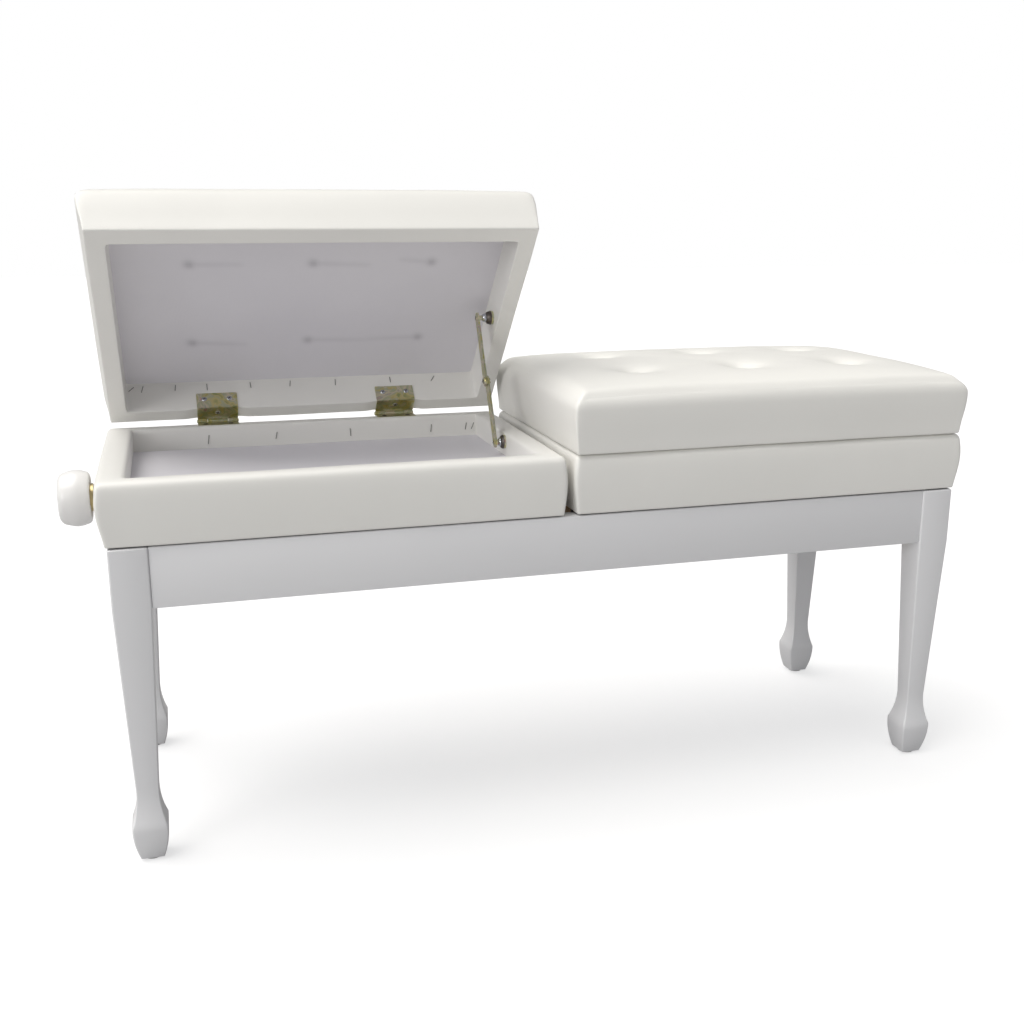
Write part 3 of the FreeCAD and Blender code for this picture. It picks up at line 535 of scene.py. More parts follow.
# %% Legs by extrusion
def make_leg(node):
    low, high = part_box(node)
    centre = (low + high) / 2
    levels = [GLIDE_TOP + (RIM_HEIGHT - GLIDE_TOP) * i / 8 for i in range(9)]
    levels += [RIM_HEIGHT + (ANKLE_HEIGHT - RIM_HEIGHT) * i / 8 for i in range(1, 9)]
    levels += [ANKLE_HEIGHT + (APRON_LOW - ANKLE_HEIGHT) * i / 5 for i in range(1, 6)]
    levels += [LEG_TOP - 1.2 * MM]
    bm = bmesh.new()
    bmesh.ops.create_grid(bm, x_segments=1, y_segments=1, size=0.5)
    bmesh.ops.bevel(bm, geom=list(bm.verts), offset=0.07, segments=3, profile=0.5,
                    affect="VERTICES", material=-1)
    width = leg_width(levels[0])
    bmesh.ops.scale(bm, vec=(width, width, 1), verts=bm.verts)
    bmesh.ops.translate(bm, vec=(0, 0, levels[0]), verts=bm.verts)
    face = bm.faces[:][0]
    for before, level in zip(levels, levels[1:] + [LEG_TOP]):
        face = extrude(bm, [face])[1][0]
        after = leg_width(level) - (2 * MM if level == LEG_TOP else 0)
        bmesh.ops.scale(bm, vec=(after / width, after / width, 1), verts=face.verts)
        bmesh.ops.translate(bm, vec=(0, 0, level - before), verts=face.verts)
        width = after
    bmesh.ops.translate(bm, vec=(centre.x, centre.y, 0), verts=bm.verts)
    return as_piece(f"turned_{node}", as_mesh(node, bm, 28), [PAINT], "leg_frame", [node])


legs = [make_leg(f"leg_{face}_{end}") for face in ("front", "back") for end in ("left", "right")]
print(len(legs), "legs of", len(legs[0].data.polygons), "faces")

# %% [markdown]
# ## Aprons
# The aprons are plain boards between the legs. Real boards never have razor edges, so each is a
# box whose edges are eased by a millimetre. That thin highlight is what makes it read as wood.

# %% Aprons
def eased_board(name, boxes, nodes, finish):
    bm = bmesh.new()
    for low, high in boxes:
        add_block(bm, low, high)
    soften(bm, list(bm.edges), 1.0 * MM, 2)
    return as_piece(name, as_mesh(name, bm), [finish], "leg_frame", nodes)


eased_board("front_apron", [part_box("apron_front")], ["apron_front"], PAINT)
eased_board("back_apron", [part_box("apron_back")], ["apron_back"], PAINT)
ends_low, ends_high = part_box("end_aprons")
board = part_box("apron_front")[1].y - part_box("apron_front")[0].y
end_boards = [(ends_low, Vector((ends_low.x + board, ends_high.y, ends_high.z))),
              (Vector((ends_high.x - board, ends_low.y, ends_low.z)), ends_high)]
eased_board("short_aprons", end_boards, ["end_aprons"], PAINT)
print("aprons", round(board / MM), "mm thick")

# %% [markdown]
# ## Padded boxes
# Each box is four boards wrapped in vinyl over thin wadding. The wadding rounds the top rim and
# lets the faces swell, while the stapled bottom edge pulls in tight. The wrap starts as a block,
# its inside is inset and bridged into a ring, the rims are bevelled, and the whole is sliced so
# that its faces can swell by a small formula.

# %% The ring
WRAP_CUTS = (0.7 * MM, 1.6 * MM, 3 * MM, 4.8 * MM, 7 * MM)


def ring_block(low, high, wall):
    """A rectangular ring: a sliced block, opened at top and bottom, its two openings bridged."""
    bm = bmesh.new()
    add_block(bm, low, high)
    for axis in (0, 1):
        slice_at(bm, axis, (low[axis] + wall, high[axis] - wall))
    inner = [face for face in bm.faces if abs(face.normal.z) > 0.9
             and all(low[i] + wall < face.calc_center_median()[i] < high[i] - wall
                     for i in (0, 1))]
    rims = [edge for face in inner for edge in face.edges]
    bmesh.ops.delete(bm, geom=inner, context="FACES_ONLY")
    bmesh.ops.bridge_loops(bm, edges=rims)
    for axis in (0, 1):
        slice_near(bm, axis, low[axis], high[axis], WRAP_CUTS)
        slice_near(bm, axis, low[axis] + wall, high[axis] - wall, (-2 * MM, -5 * MM))
        slice_evenly(bm, axis, low[axis] + wall, high[axis] - wall, 12 * MM)
    slice_near(bm, 2, low.z, high.z, (*WRAP_CUTS, 11 * MM, 15 * MM))
    slice_evenly(bm, 2, low.z + 15 * MM, high.z - 15 * MM, 6 * MM)
    return bm


RIM_ROLL, RIM_LEAN = 7 * MM, 17 * MM


def round_ring(bm, low, high, wall):
    """Rounds the outer rim, the upright corners, the stapled bottom edge and the inner rim."""
    for vert in bm.verts:
        start = vert.co.copy()
        tight = 4 * MM + (RIM_ROLL - 4 * MM) * smoothstep(low.z, high.z - RIM_ROLL, start.z)
        if start.z > high.z - RIM_ROLL:
            round_off(vert, *nearest_sides(start, low, high, RIM_ROLL), (2, 1, high.z, RIM_ROLL),
                      fullness=3)
        else:
            round_off(vert, *nearest_sides(start, low, high, tight), fullness=3)
        for axis, way, limit, _ in nearest_sides(start, low, high, tight):
            round_off(vert, (axis, way, limit, 2 * MM), (2, -1, low.z, 2 * MM))
            other = 1 - axis
            if low[other] + wall <= start[other] <= high[other] - wall:
                round_off(vert, (axis, -way, limit - way * wall, 5 * MM), (2, 1, high.z, 5 * MM))


def make_box_cover():
    low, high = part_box("right_box_cover")
    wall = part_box("right_box_floor")[0].x - low.x
    bm = ring_block(low, high, wall)
    round_ring(bm, low, high, wall)
    swell_box(bm, low, high, wall)
    return as_mesh("box_wrap", bm, 60)


def swell_box(bm, low, high, wall):
    """Outer faces swell, most at the knob's end, lean in to the rim and pull in where stapled."""
    centre = (low + high) / 2
    half = (high - low) / 2
    for vert in bm.verts:
        t = (vert.co.z - low.z) / (high.z - low.z)
        ripple = noise.noise(Vector((vert.co.x * 14, vert.co.y * 14, vert.co.z * 9)))
        for axis in (0, 1):
            reach = vert.co[axis] - centre[axis]
            outside = smoothstep(half[axis] - wall * 0.55, half[axis] - wall * 0.2, abs(reach))
            inside = 1 - outside
            other = 1 - axis
            near_corner = smoothstep(0.0, 0.05, half[other] - abs(vert.co[other] - centre[other]))
            way = math.copysign(1, reach)
            bulge = 2.4 if axis == 0 else 1.6
            swelling = (bulge * math.sin(math.pi * min(1, t * 0.95 + 0.04)) - 0.75 * bulge) * MM
            swelling += (0.7 * near_corner + 0.5 * ripple) * MM
            if axis == 0:
                swelling += (5.0 if way > 0 else 2.0) * MM * smoothstep(0.0, 0.7, t)
            else:
                swelling -= 2.4 * MM * max(0, 1 - (high.z - vert.co.z) / RIM_LEAN) ** 2
            vert.co[axis] += way * outside * swelling
            within = abs(vert.co[other] - centre[other]) < half[other] - wall * 0.8
            if within and abs(reach) > half[axis] - wall * 1.1:
                vert.co[axis] -= way * inside * (0.5 + 0.5 * ripple) * MM * t
        vert.co.z += (0.9 + 0.4 * ripple) * MM * smoothstep(0.8, 1.0, t)


box_mesh = make_box_cover()
box_wraps = both_sides("box_wrap", box_mesh, [VINYL], "seat", ["box_cover"])
print("box wrap", len(box_mesh.vertices), "points")

# %% [markdown]
# ## Tufted lids
# A lid is a frame of boards with a panel on top, a slab of foam and a vinyl cover pulled over
# everything and down inside the rim. Buttons are drawn down through the foam. The cover begins as
# a block with a recess below. The button wells and the crown are moved in first, and then a short
# cloth simulation inflates the top between the pinned buttons, which gives the natural pull lines.

# %% Where the buttons sit
lid_low, lid_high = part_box("right_lid_cover")
lid_centre = (lid_low + lid_high) / 2
lid_half = (lid_high - lid_low) / 2
buttons_low, buttons_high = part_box("right_lid_buttons")
BUTTON_RADIUS = 11 * MM
BUTTON_BASE = buttons_low.z + 7 * MM
button_x = (buttons_high.x - buttons_low.x) / 2 - 10 * MM
button_y = (buttons_high.y - buttons_low.y) / 2 - 10 * MM
BUTTONS = [Vector((lid_centre.x + button_x * column, lid_centre.y + button_y * line))
           for column in (-1, 0, 1) for line in (-1, 1)]
print("buttons at", [tuple(round(v, 3) for v in place) for place in BUTTONS])

# %% The lid's block
RECESS_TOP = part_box("right_lid_lining")[1].z
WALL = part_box("right_lid_lining")[0].x - lid_low.x
EDGE_ROLL, EDGE_DROP = 14 * MM, 21 * MM
CROWN = 12.5 * MM
ROLL_CUTS = (0.6 * MM, 1.6 * MM, 3 * MM, 5 * MM, 7.5 * MM, 10.5 * MM, 14 * MM)


def lid_block():
    """A block sliced finely near its edges, with the recess lifted up inside its rim."""
    bm = bmesh.new()
    add_block(bm, lid_low, lid_high)
    for axis in (0, 1):
        low, high = lid_low[axis], lid_high[axis]
        slice_near(bm, axis, low, high, (*ROLL_CUTS, WALL - 2 * MM, WALL))
        slice_evenly(bm, axis, low + WALL, high - WALL, 8 * MM)
    inner = [face for face in bm.faces if face.normal.z < -0.9
             and all(abs(face.calc_center_median()[i] - lid_centre[i]) < lid_half[i] - WALL
                     for i in (0, 1))]
    raised = extrude(bm, inner)[0]
    bmesh.ops.translate(bm, vec=(0, 0, RECESS_TOP - lid_low.z), verts=raised)
    slice_at(bm, 2, [lid_high.z - cut for cut in (*ROLL_CUTS, 17.5 * MM, EDGE_DROP)])
    slice_near(bm, 2, lid_low.z, lid_high.z, (0.8 * MM, 2 * MM))
    slice_evenly(bm, 2, lid_low.z + 2 * MM, lid_high.z - EDGE_DROP, 8 * MM)
    return bm


def corner_radius(z):
    """The upright corners are tight at the rim and open out towards the padded shoulder."""
    tight = 5 * MM
    return tight + (EDGE_ROLL - tight) * smoothstep(lid_low.z + 8 * MM, lid_high.z - EDGE_DROP, z)


def round_lid(bm):
    """Rounds the padded shoulder and its corners, the upright corners and both rim edges."""
    for vert in bm.verts:
        start = vert.co.copy()
        inside = all(abs(start[i] - lid_centre[i]) < lid_half[i] - WALL + 1e-6 for i in (0, 1))
        if inside and start.z < RECESS_TOP + 1e-6:
            continue
        if start.z > lid_high.z - EDGE_DROP:
            sides = nearest_sides(start, lid_low, lid_high, EDGE_ROLL)
            round_off(vert, *sides, (2, 1, lid_high.z, EDGE_DROP), fullness=8)
            continue
        sides = nearest_sides(start, lid_low, lid_high, corner_radius(start.z))
        round_off(vert, *sides, fullness=8)
        for axis, way, limit, _ in sides:
            round_off(vert, (axis, way, limit, 2 * MM), (2, -1, lid_low.z, 2 * MM))
            other = 1 - axis
            if abs(start[other] - lid_centre[other]) <= lid_half[other] - WALL:
                round_off(vert, (axis, -way, limit - way * WALL, 2 * MM),
                          (2, -1, lid_low.z, 2 * MM))


# %% Crown and wells
def well_depth(place):
    """How far the cover is drawn down near the buttons, from 0 to 1 where a button presses."""
    away = min((place - spot).length for spot in BUTTONS)
    return math.exp(-(max(0.0, away - 7 * MM) / (15 * MM)) ** 1.2)


def pull_lines(place):
    """Faint folds that run between neighbouring buttons."""
    fold = 0.0
    for i, first in enumerate(BUTTONS):
        for second in BUTTONS[i + 1:]:
            run = second - first
            if run.length > 0.20:
                continue
            t = (place - first).dot(run) / run.length_squared
            if 0 < t < 1:
                away = (place - first - run * t).length
                fold = max(fold, math.exp(-(away / (10 * MM)) ** 2)
                           * (1 - math.sin(math.pi * t) * 0.55))
    return fold


def dome(place):
    """The crown's height: nearly full along the middle, falling away towards the edges."""
    across = max(0, 1 - abs((place.x - lid_centre.x) / lid_half.x) ** 5)
    down = max(0, 1 - abs((place.y - lid_centre.y) / lid_half.y) ** 3)
    return CROWN * across ** 0.7 * down ** 0.85


def crown(bm):
    """Domes the top, draws the wells down to the buttons and eases the shoulders."""
    for vert in bm.verts:
        height = smoothstep(lid_high.z - 2 * EDGE_ROLL, lid_high.z - 1 * MM, vert.co.z)
        if height == 0:
            continue
        place = vert.co.xy
        raised = dome(place)
        down_to_button = lid_high.z + raised - BUTTON_BASE
        drop = max(down_to_button * well_depth(place), 1.2 * MM * pull_lines(place))
        wave = noise.noise(Vector((place.x * 11, place.y * 11, 0))) * 0.7 * MM
        edge = min(lid_half[i] - abs(place[i] - lid_centre[i]) for i in (0, 1))
        shoulder = 2.0 * MM * math.exp(-edge / (12 * MM))
        vert.co.z += height * (raised - drop + wave - shoulder)


# %% The rim's wadding
HINGE_X = [sum(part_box("right_lid_hinge_leaves")[i].x for i in (0, 1)) / 2 + way * 111 * MM
           for way in (-1, 1)]


def swell_lid(bm):
    """Sides swell softly, and the rim's lower face is pressed flat only beside the hinges."""
    for vert in bm.verts:
        t = (vert.co.z - lid_low.z) / (lid_high.z - lid_low.z)
        ripple = noise.noise(Vector((vert.co.x * 12 + 5, vert.co.y * 12, vert.co.z * 10)))
        for axis in (0, 1):
            reach = vert.co[axis] - lid_centre[axis]
            outside = smoothstep(lid_half[axis] - WALL * 0.3, lid_half[axis], abs(reach))
            side = smoothstep(0, 0.6, t) * 2.6 + 0.5 * ripple - 0.6
            if axis == 0:
                side += (4.2 if reach > 0 else 1.5) * smoothstep(0.0, 0.7, t)
            vert.co[axis] += math.copysign(1, reach) * outside * side * MM
        if t < 0.1 and vert.co.z < RECESS_TOP - 5 * MM:
            beside = min(abs(vert.co.x - x) for x in HINGE_X)
            at_back = smoothstep(lid_half.y - WALL * 1.4, lid_half.y - WALL * 1.1,
                                 vert.co.y - lid_centre.y)
            loose = 1 - at_back * (1 - smoothstep(27 * MM, 36 * MM, beside))
            vert.co.z -= (2.0 + 0.3 * ripple) * MM * loose * (1 - t / 0.1)


# %% [markdown]
# ### The cloth pass
# Only the top is free: the sides, the rim and the buttons are pinned, as glue and thread pin the
# real cover. Gravity is off and a mild pressure stands in for the foam. Foam gives way less than
# air would, so only a share of the movement is kept and applied to the mesh.

# %% Inflate the top
def inflate(mesh, frames=20, share=0.6, cap=4 * MM):
    piece = bpy.data.objects.new("cloth_pass", mesh)
    bpy.context.scene.collection.objects.link(piece)
    start = [vert.co.copy() for vert in mesh.vertices]
    pins = piece.vertex_groups.new(name="pinned")
    for vert in mesh.vertices:
        free = smoothstep(lid_high.z - EDGE_ROLL * 1.6, lid_high.z - EDGE_ROLL, vert.co.z)
        near = min((vert.co.xy - spot).length for spot in BUTTONS)
        weight = 1.0 if near < BUTTON_RADIUS or free == 0 else 1 - free
        pins.add([vert.index], weight, "REPLACE")
    cloth = piece.modifiers.new("cover", "CLOTH")
    cloth.settings.vertex_group_mass = "pinned"
    cloth.settings.quality = 6
    cloth.settings.mass = 0.3
    cloth.settings.tension_stiffness = 30
    cloth.settings.compression_stiffness = 30
    cloth.settings.shear_stiffness = 15
    cloth.settings.bending_stiffness = 12
    cloth.settings.shrink_min = 0.001
    cloth.settings.use_pressure = True
    cloth.settings.uniform_pressure_force = 2.5
    cloth.settings.effector_weights.gravity = 0
    cloth.point_cache.frame_start = 1
    cloth.point_cache.frame_end = frames
    for step in range(1, frames + 1):
        bpy.context.scene.frame_set(step)
    graph = bpy.context.evaluated_depsgraph_get()
    moved = piece.evaluated_get(graph).to_mesh()
    ends = [vert.co.copy() for vert in moved.vertices]
    piece.evaluated_get(graph).to_mesh_clear()
    bpy.data.objects.remove(piece)
    furthest = 0.0
    for vert, before, after in zip(mesh.vertices, start, ends):
        shift = (after - before) * share
        furthest = max(furthest, shift.length)
        if shift.length > cap:
            shift = shift.normalized() * cap
        vert.co = before + shift
    bpy.context.scene.frame_set(1)
    return furthest


lid_bm = lid_block()
round_lid(lid_bm)
crown(lid_bm)
swell_lid(lid_bm)
lid_mesh = as_mesh("lid_wrap", lid_bm, 60)
print("cloth moved up to", round(inflate(lid_mesh) / MM, 1), "mm")
lid_wraps = both_sides("lid_wrap", lid_mesh, [VINYL], "lid", ["lid_cover", "lid_foam"])
for wrap in lid_wraps:
    smooth = wrap.modifiers.new("soft", "SUBSURF")
    smooth.levels = 1
    smooth.render_levels = 1
print("lid wrap", len(lid_mesh.vertices), "points")

# %% [markdown]
# ## Covered buttons
# A tufting button is a shallow dome covered in the same vinyl. Each is spun from half a profile.

# %% Buttons
def make_buttons():
    profile = [(0.0, 4.0), (4.0, 3.7), (7.5, 2.7), (9.4, 1.1), (9.8, -0.2), (9.0, -1.4),
               (0.0, -1.4)]
    bm = bmesh.new()
    for spot in BUTTONS:
        verts = [bm.verts.new((spot.x + r * MM, spot.y, BUTTON_BASE + z * MM))
                 for r, z in profile]
        edges = [bm.edges.new(pair) for pair in zip(verts, verts[1:])]
        bmesh.ops.spin(bm, geom=verts + edges, cent=(spot.x, spot.y, 0), axis=(0, 0, 1),
                       angle=math.tau, steps=28, use_merge=True)
    bmesh.ops.remove_doubles(bm, verts=bm.verts, dist=0.01 * MM)
    return as_mesh("buttons", bm, 50)


both_sides("covered_buttons", make_buttons(), [VINYL], "lid", ["lid_buttons"])
print(len(BUTTONS), "buttons a lid")

# %% [markdown]
# ## Lining
# The lid's lining is a thin cloth panel. The buttons' threads are knotted behind it, and their
# tails lie flat under the cloth and show through as soft grey marks. The marks are a mask stored
# on the mesh, worked out from each knot's place and its tail.

# %% Lining panels
TAILS = {0: (0.035, -0.004), 1: (0.062, 0.002), 2: (-0.062, 0.004), 3: (-0.070, 0.003),
         4: (-0.055, 0.001), 5: (-0.060, 0.005)}


def knot_shadow(place):
    shade = 0.0
    for index, spot in enumerate(BUTTONS):
        distance = (place - spot).length
        shade = max(shade, 0.40 * math.exp(-(distance / (6.0 * MM)) ** 2))
        tail = Vector(TAILS[index])
        t = min(1.0, max(0.0, (place - spot).dot(tail) / tail.length_squared))
        away = (place - spot - tail * t).length
        shade = max(shade, 0.14 * math.exp(-(away / (4.0 * MM)) ** 2) * (1 - 0.4 * t))
    return shade


def make_panel(name, box, step, facing):
    low, high = box
    centre = (low + high) / 2
    bm = bmesh.new()
    add_block(bm, low, high)
    for axis in (0, 1):
        slice_evenly(bm, axis, low[axis], high[axis], step)
    marks = bm.verts.layers.float.new(KNOT_MASK)
    for vert in bm.verts:
        outward = vert.co.z > centre.z if facing > 0 else vert.co.z < centre.z
        if not outward:
            continue
        wave = noise.noise(Vector((vert.co.x * 9, vert.co.y * 9, facing)))
        vert.co.z += facing * 0.5 * MM * wave
        if facing < 0:
            vert[marks] = knot_shadow(vert.co.xy)
            vert.co.z -= 1.6 * MM * vert[marks]
    return as_mesh(name, bm, 50)


lid_lining = make_panel("lid_lining_cloth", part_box("right_lid_lining"), 3.5 * MM, -1)
lid_cloths = both_sides("lid_lining_cloth", lid_lining, [LINING], "lid", ["lid_lining"])
box_floor = make_panel("box_lining_cloth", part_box("right_box_floor"), 9 * MM, 1)
both_sides("box_lining_cloth", box_floor, [LINING], "seat", ["box_floor"])
print("lining", len(lid_lining.vertices), "points")

# %% [markdown]
# ## Hinges
# The butt hinges are folded plates with curled knuckles. The upper leaf wraps from the rim's
# underside up its inner face. Plates are thin blocks with rounded corners, knuckles are short
# cylinders, and each screw head is a spun dome with a crossed recess.

# %% Plates, knuckles and screws
def add_plate(bm, low, high, thin, radius):
    verts = add_block(bm, low, high)
    corners = [edge for edge in edges_of(verts) if along(edge, thin)]
    rounded = soften(bm, corners, radius, 4)
    return rounded


def add_barrel(bm, start, end, radius):
    middle = (Vector(start) + Vector(end)) / 2
    length = (Vector(end) - Vector(start)).length
    turn = Matrix.Rotation(math.pi / 2, 4, "Y")
    made = bmesh.ops.create_cone(bm, cap_ends=True, segments=20, radius1=radius, radius2=radius,
                                 depth=length, matrix=Matrix.Translation(middle) @ turn)
    rims = [edge for edge in edges_of(made["verts"]) if not along(edge, 0)]
    soften(bm, rims, 0.25 * MM, 2)


def add_screw(bm, place, facing, radius, height, crossed=True):
    """A domed head whose crossed recess is two thin bars of painted shade. facing is its outward direction."""
    turn = Vector((0, 0, 1)).rotation_difference(Vector(facing)).to_matrix().to_4x4()
    matrix = Matrix.Translation(Vector(place)) @ turn
    profile = [(0.0, height), (radius * 0.45, height * 0.95), (radius * 0.85, height * 0.6),
               (radius, height * 0.1), (radius, 0.0), (0.0, 0.0)]
    verts = [bm.verts.new(matrix @ Vector((r, 0, z))) for r, z in profile]
    edges = [bm.edges.new(pair) for pair in zip(verts, verts[1:])]
    axis = matrix.to_3x3() @ Vector((0, 0, 1))
    bmesh.ops.spin(bm, geom=verts + edges, cent=matrix.translation, axis=axis, angle=math.tau,
                   steps=18, use_merge=True)
    for long_way in (0, 1) if crossed else ():
        half = [radius * 0.13, radius * 0.13]
        half[long_way] = radius * 0.62
        bar = bmesh.ops.create_cube(bm, size=1)["verts"]
        bmesh.ops.scale(bm, vec=(half[0] * 2, half[1] * 2, height), verts=bar)
        bmesh.ops.rotate(bm, cent=(0, 0, 0), matrix=Matrix.Rotation(0.5, 3, "Z"), verts=bar)
        bmesh.ops.translate(bm, vec=(0, 0, height * 0.54), verts=bar)
        bmesh.ops.transform(bm, matrix=matrix, verts=bar)
        # The bars take the second, dark finish: painted shade where the recess is hollow.
        for face in {face for vert in bar for face in vert.link_faces}:
            face.material_index = 1


# %% Hinges on one seat
LEAF = 1.2 * MM
pin_point = Vector((0, hinge_point.y, hinge_point.z))
box_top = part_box("right_box_cover")[1].z
rim_back = lid_high.y
rim_inner = lid_high.y - WALL
HALF_HINGE = 24.5 * MM


def make_box_leaves():
    bm = bmesh.new()
    for x in HINGE_X:
        add_plate(bm, (x - HALF_HINGE, rim_inner + 1 * MM, box_top),
                  (x + HALF_HINGE, rim_back + 0.5 * MM, box_top + LEAF), 2, 2 * MM)
        for way in (-1, 1):
            inner, outer = sorted((x + way * 12.5 * MM, x + way * HALF_HINGE))
            add_block(bm, (inner, rim_back - 1 * MM, box_top + 0.1 * MM),
                      (outer, pin_point.y, box_top + LEAF - 0.1 * MM))
            add_barrel(bm, (inner, pin_point.y, pin_point.z), (outer, pin_point.y, pin_point.z),
                       3 * MM)
            add_barrel(bm, (x + way * (HALF_HINGE - 0.5 * MM), pin_point.y, pin_point.z),
                       (x + way * (HALF_HINGE + 0.8 * MM), pin_point.y, pin_point.z), 1.9 * MM)
    return as_mesh("box_leaves", bm)


def make_lid_leaves():
    bm = bmesh.new()
    for x in HINGE_X:
        add_plate(bm, (x - HALF_HINGE, rim_inner - LEAF, lid_low.z - LEAF),
                  (x + HALF_HINGE, rim_back + 0.5 * MM, lid_low.z), 2, 1.2 * MM)
        add_plate(bm, (x - HALF_HINGE, rim_inner - LEAF, lid_low.z - LEAF + 0.1 * MM),
                  (x + HALF_HINGE, rim_inner, lid_low.z + 22 * MM), 1, 1.2 * MM)
        add_block(bm, (x - 12 * MM, rim_back - 1 * MM, lid_low.z - LEAF + 0.1 * MM),
                  (x + 12 * MM, pin_point.y, lid_low.z - 0.1 * MM))
        add_barrel(bm, (x - 12.2 * MM, pin_point.y, pin_point.z),
                   (x + 12.2 * MM, pin_point.y, pin_point.z), 3 * MM)
    return as_mesh("lid_leaves", bm)


def make_hinge_screws():
    box_bm = bmesh.new()
    lid_bm = bmesh.new()
    middle_y = (rim_inner + rim_back) / 2
    for x in HINGE_X:
        for way in (-1, 1):
            add_screw(box_bm, (x + way * 15 * MM, middle_y, box_top + LEAF), (0, 0, 1), 3.2 * MM,
                      0.6 * MM)
            add_screw(lid_bm, (x + way * 15 * MM, rim_inner - LEAF, lid_low.z + 13 * MM),
                      (0, -1, 0), 3.4 * MM, 1.3 * MM)
        add_screw(lid_bm, (x, middle_y - 2 * MM, lid_low.z - LEAF), (0, 0, -1), 3.4 * MM, 0.6 * MM)
    return as_mesh("box_hinge_screws", box_bm), as_mesh("lid_hinge_screws", lid_bm)


both_sides("box_leaves", make_box_leaves(), [ZINC], "seat", ["box_hinge_leaves"])
both_sides("lid_leaves", make_lid_leaves(), [ZINC], "lid", ["lid_hinge_leaves"])
box_screws, lid_screws = make_hinge_screws()
both_sides("box_hinge_screws", box_screws, [BLACKENED_AND_SHADE, BLACKENED_AND_SHADE], "seat", ["box_screws"])
both_sides("lid_hinge_screws", lid_screws, [SCREW, BLACKENED_AND_SHADE], "lid", ["lid_screws"])
print("hinges at", [round(x, 3) for x in HINGE_X])

# %% [markdown]
# ## Stay fittings
# Each stay is two flat arms that fold at a riveted knuckle. The designed arms stay as they are.
# What they lack are the rivet heads at the knuckle and the dark cup washers, each round a bright
# domed screw, where the brackets meet the wood.

# %% Rivets and pivot screws
def joint_place(name):
    joint = next(joint for joint in frame["joints"] if joint["name"] == name)
    return Vector(joint["pos_m"])


def far_end(node, pivot):
    """The centre of an arm's round free end: the end of its longest run from the pivot."""
    points = [vert.co for vert in frame["nodes"][node].data.vertices]
    tip = max(points, key=lambda point: (point - pivot).yz.length)
    reach = Vector((0, tip.y - pivot.y, tip.z - pivot.z))
    return pivot + reach.normalized() * (reach.length - 6.5 * MM)


def make_stay_fittings(side, way):
    for arm, body in (("lower", f"{side}_stay_lower"), ("upper", f"{side}_stay_upper")):
        pivot = joint_place(f"{side}_stay_{arm}_turn")
        low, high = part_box(f"{side}_stay_{arm}_arm")
        knuckle = far_end(f"{side}_stay_{arm}_arm", pivot)
        bm = bmesh.new()
        near, far = (low.x, high.x) if way > 0 else (high.x, low.x)
        outer, outward = (near, -way) if arm == "lower" else (far, way)
        add_screw(bm, (outer, knuckle.y, knuckle.z), (outward, 0, 0), 5.0 * MM, 2.2 * MM)
        as_piece(f"{side}_{arm}_rivet", as_mesh(f"{arm}_rivet", bm), [ZINC, BLACKENED_AND_SHADE], body)
        bracket, holder = ("box", "seat") if arm == "lower" else ("lid", "lid")
        low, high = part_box(f"{side}_stay_{bracket}_bracket")
        plate = (low.x if way > 0 else high.x) + way * 2.5 * MM
        gap = abs(near - plate)
        bm = bmesh.new()
        add_screw(bm, (plate, pivot.y, pivot.z), (way, 0, 0), 8.4 * MM, gap * 0.5, crossed=False)
        ring = as_mesh(f"{arm}_cup_washer", bm)
        as_piece(f"{side}_{arm}_cup_washer", ring, [BLACKENED_AND_SHADE], f"{side}_{holder}")
        bm = bmesh.new()
        add_screw(bm, (plate + way * gap * 0.42, pivot.y, pivot.z), (way, 0, 0), 5.4 * MM,
                  gap * 0.34, crossed=False)
        dome_screw = as_mesh(f"{arm}_wall_screw", bm)
        as_piece(f"{side}_{arm}_wall_screw", dome_screw, [SCREW], f"{side}_{holder}")
        bm = bmesh.new()
        add_screw(bm, (far, pivot.y, pivot.z), (way, 0, 0), 4.4 * MM, 1.4 * MM)
        as_piece(f"{side}_{arm}_pin_head", as_mesh(f"{arm}_pin_head", bm), [ZINC, BLACKENED_AND_SHADE],
                 f"{side}_{holder}")


for side, way in (("left", -1), ("right", 1)):
    make_stay_fittings(side, way)
print("stay fittings on both sides")

# %% [markdown]
# ## Staples
# The vinyl is stapled along the back walls, inside the box and inside the lid. Each staple is a
# short upright wire, listed at slightly uneven places and tilts, as a staple gun leaves them.

# %% Staples
BOX_STAPLES = [(369, 11, -8), (287, 9, -12), (195, 10, 3), (91, 10, -6), (45, 9, -10), (36, 9, -22)]
LID_STAPLES = [(456, 9, -45), (443, 10, -14), (404, 9, -6), (366, 10, 0), (313, 9, 4), (264, 9, -8),
               (207, 10, -5), (136, 9, 0), (80, 10, -35)]


def make_staples(name, rows, y, top):
    bm = bmesh.new()
    for x, length, tilt in rows:
        piece = bmesh.new()
        add_block(piece, (-0.45 * MM, -0.35 * MM, -length / 2 * MM),
                  (0.45 * MM, 0.35 * MM, length / 2 * MM))
        soften(piece, list(piece.edges), 0.2 * MM, 1)
        place = Matrix.Translation((x * MM, y, top - length / 2 * MM))
        bmesh.ops.transform(piece, matrix=place @ Matrix.Rotation(math.radians(tilt), 4, "Y"),
                            verts=piece.verts)
        spare = bpy.data.meshes.new("spare")
        piece.to_mesh(spare)
        piece.free()
        bm.from_mesh(spare)
        bpy.data.meshes.remove(spare)
    return as_mesh(name, bm)


box_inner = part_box("right_box_floor")[1].y
box_staples = make_staples("box_staples", BOX_STAPLES, box_inner - 1.0 * MM, 400 * MM)
both_sides("box_staples", box_staples, [WIRE], "seat")
lid_staples = make_staples("lid_staples", LID_STAPLES, rim_inner - 0.4 * MM, 451 * MM)
both_sides("lid_staples", lid_staples, [WIRE], "lid")
print(len(BOX_STAPLES) + len(LID_STAPLES), "staples a seat")
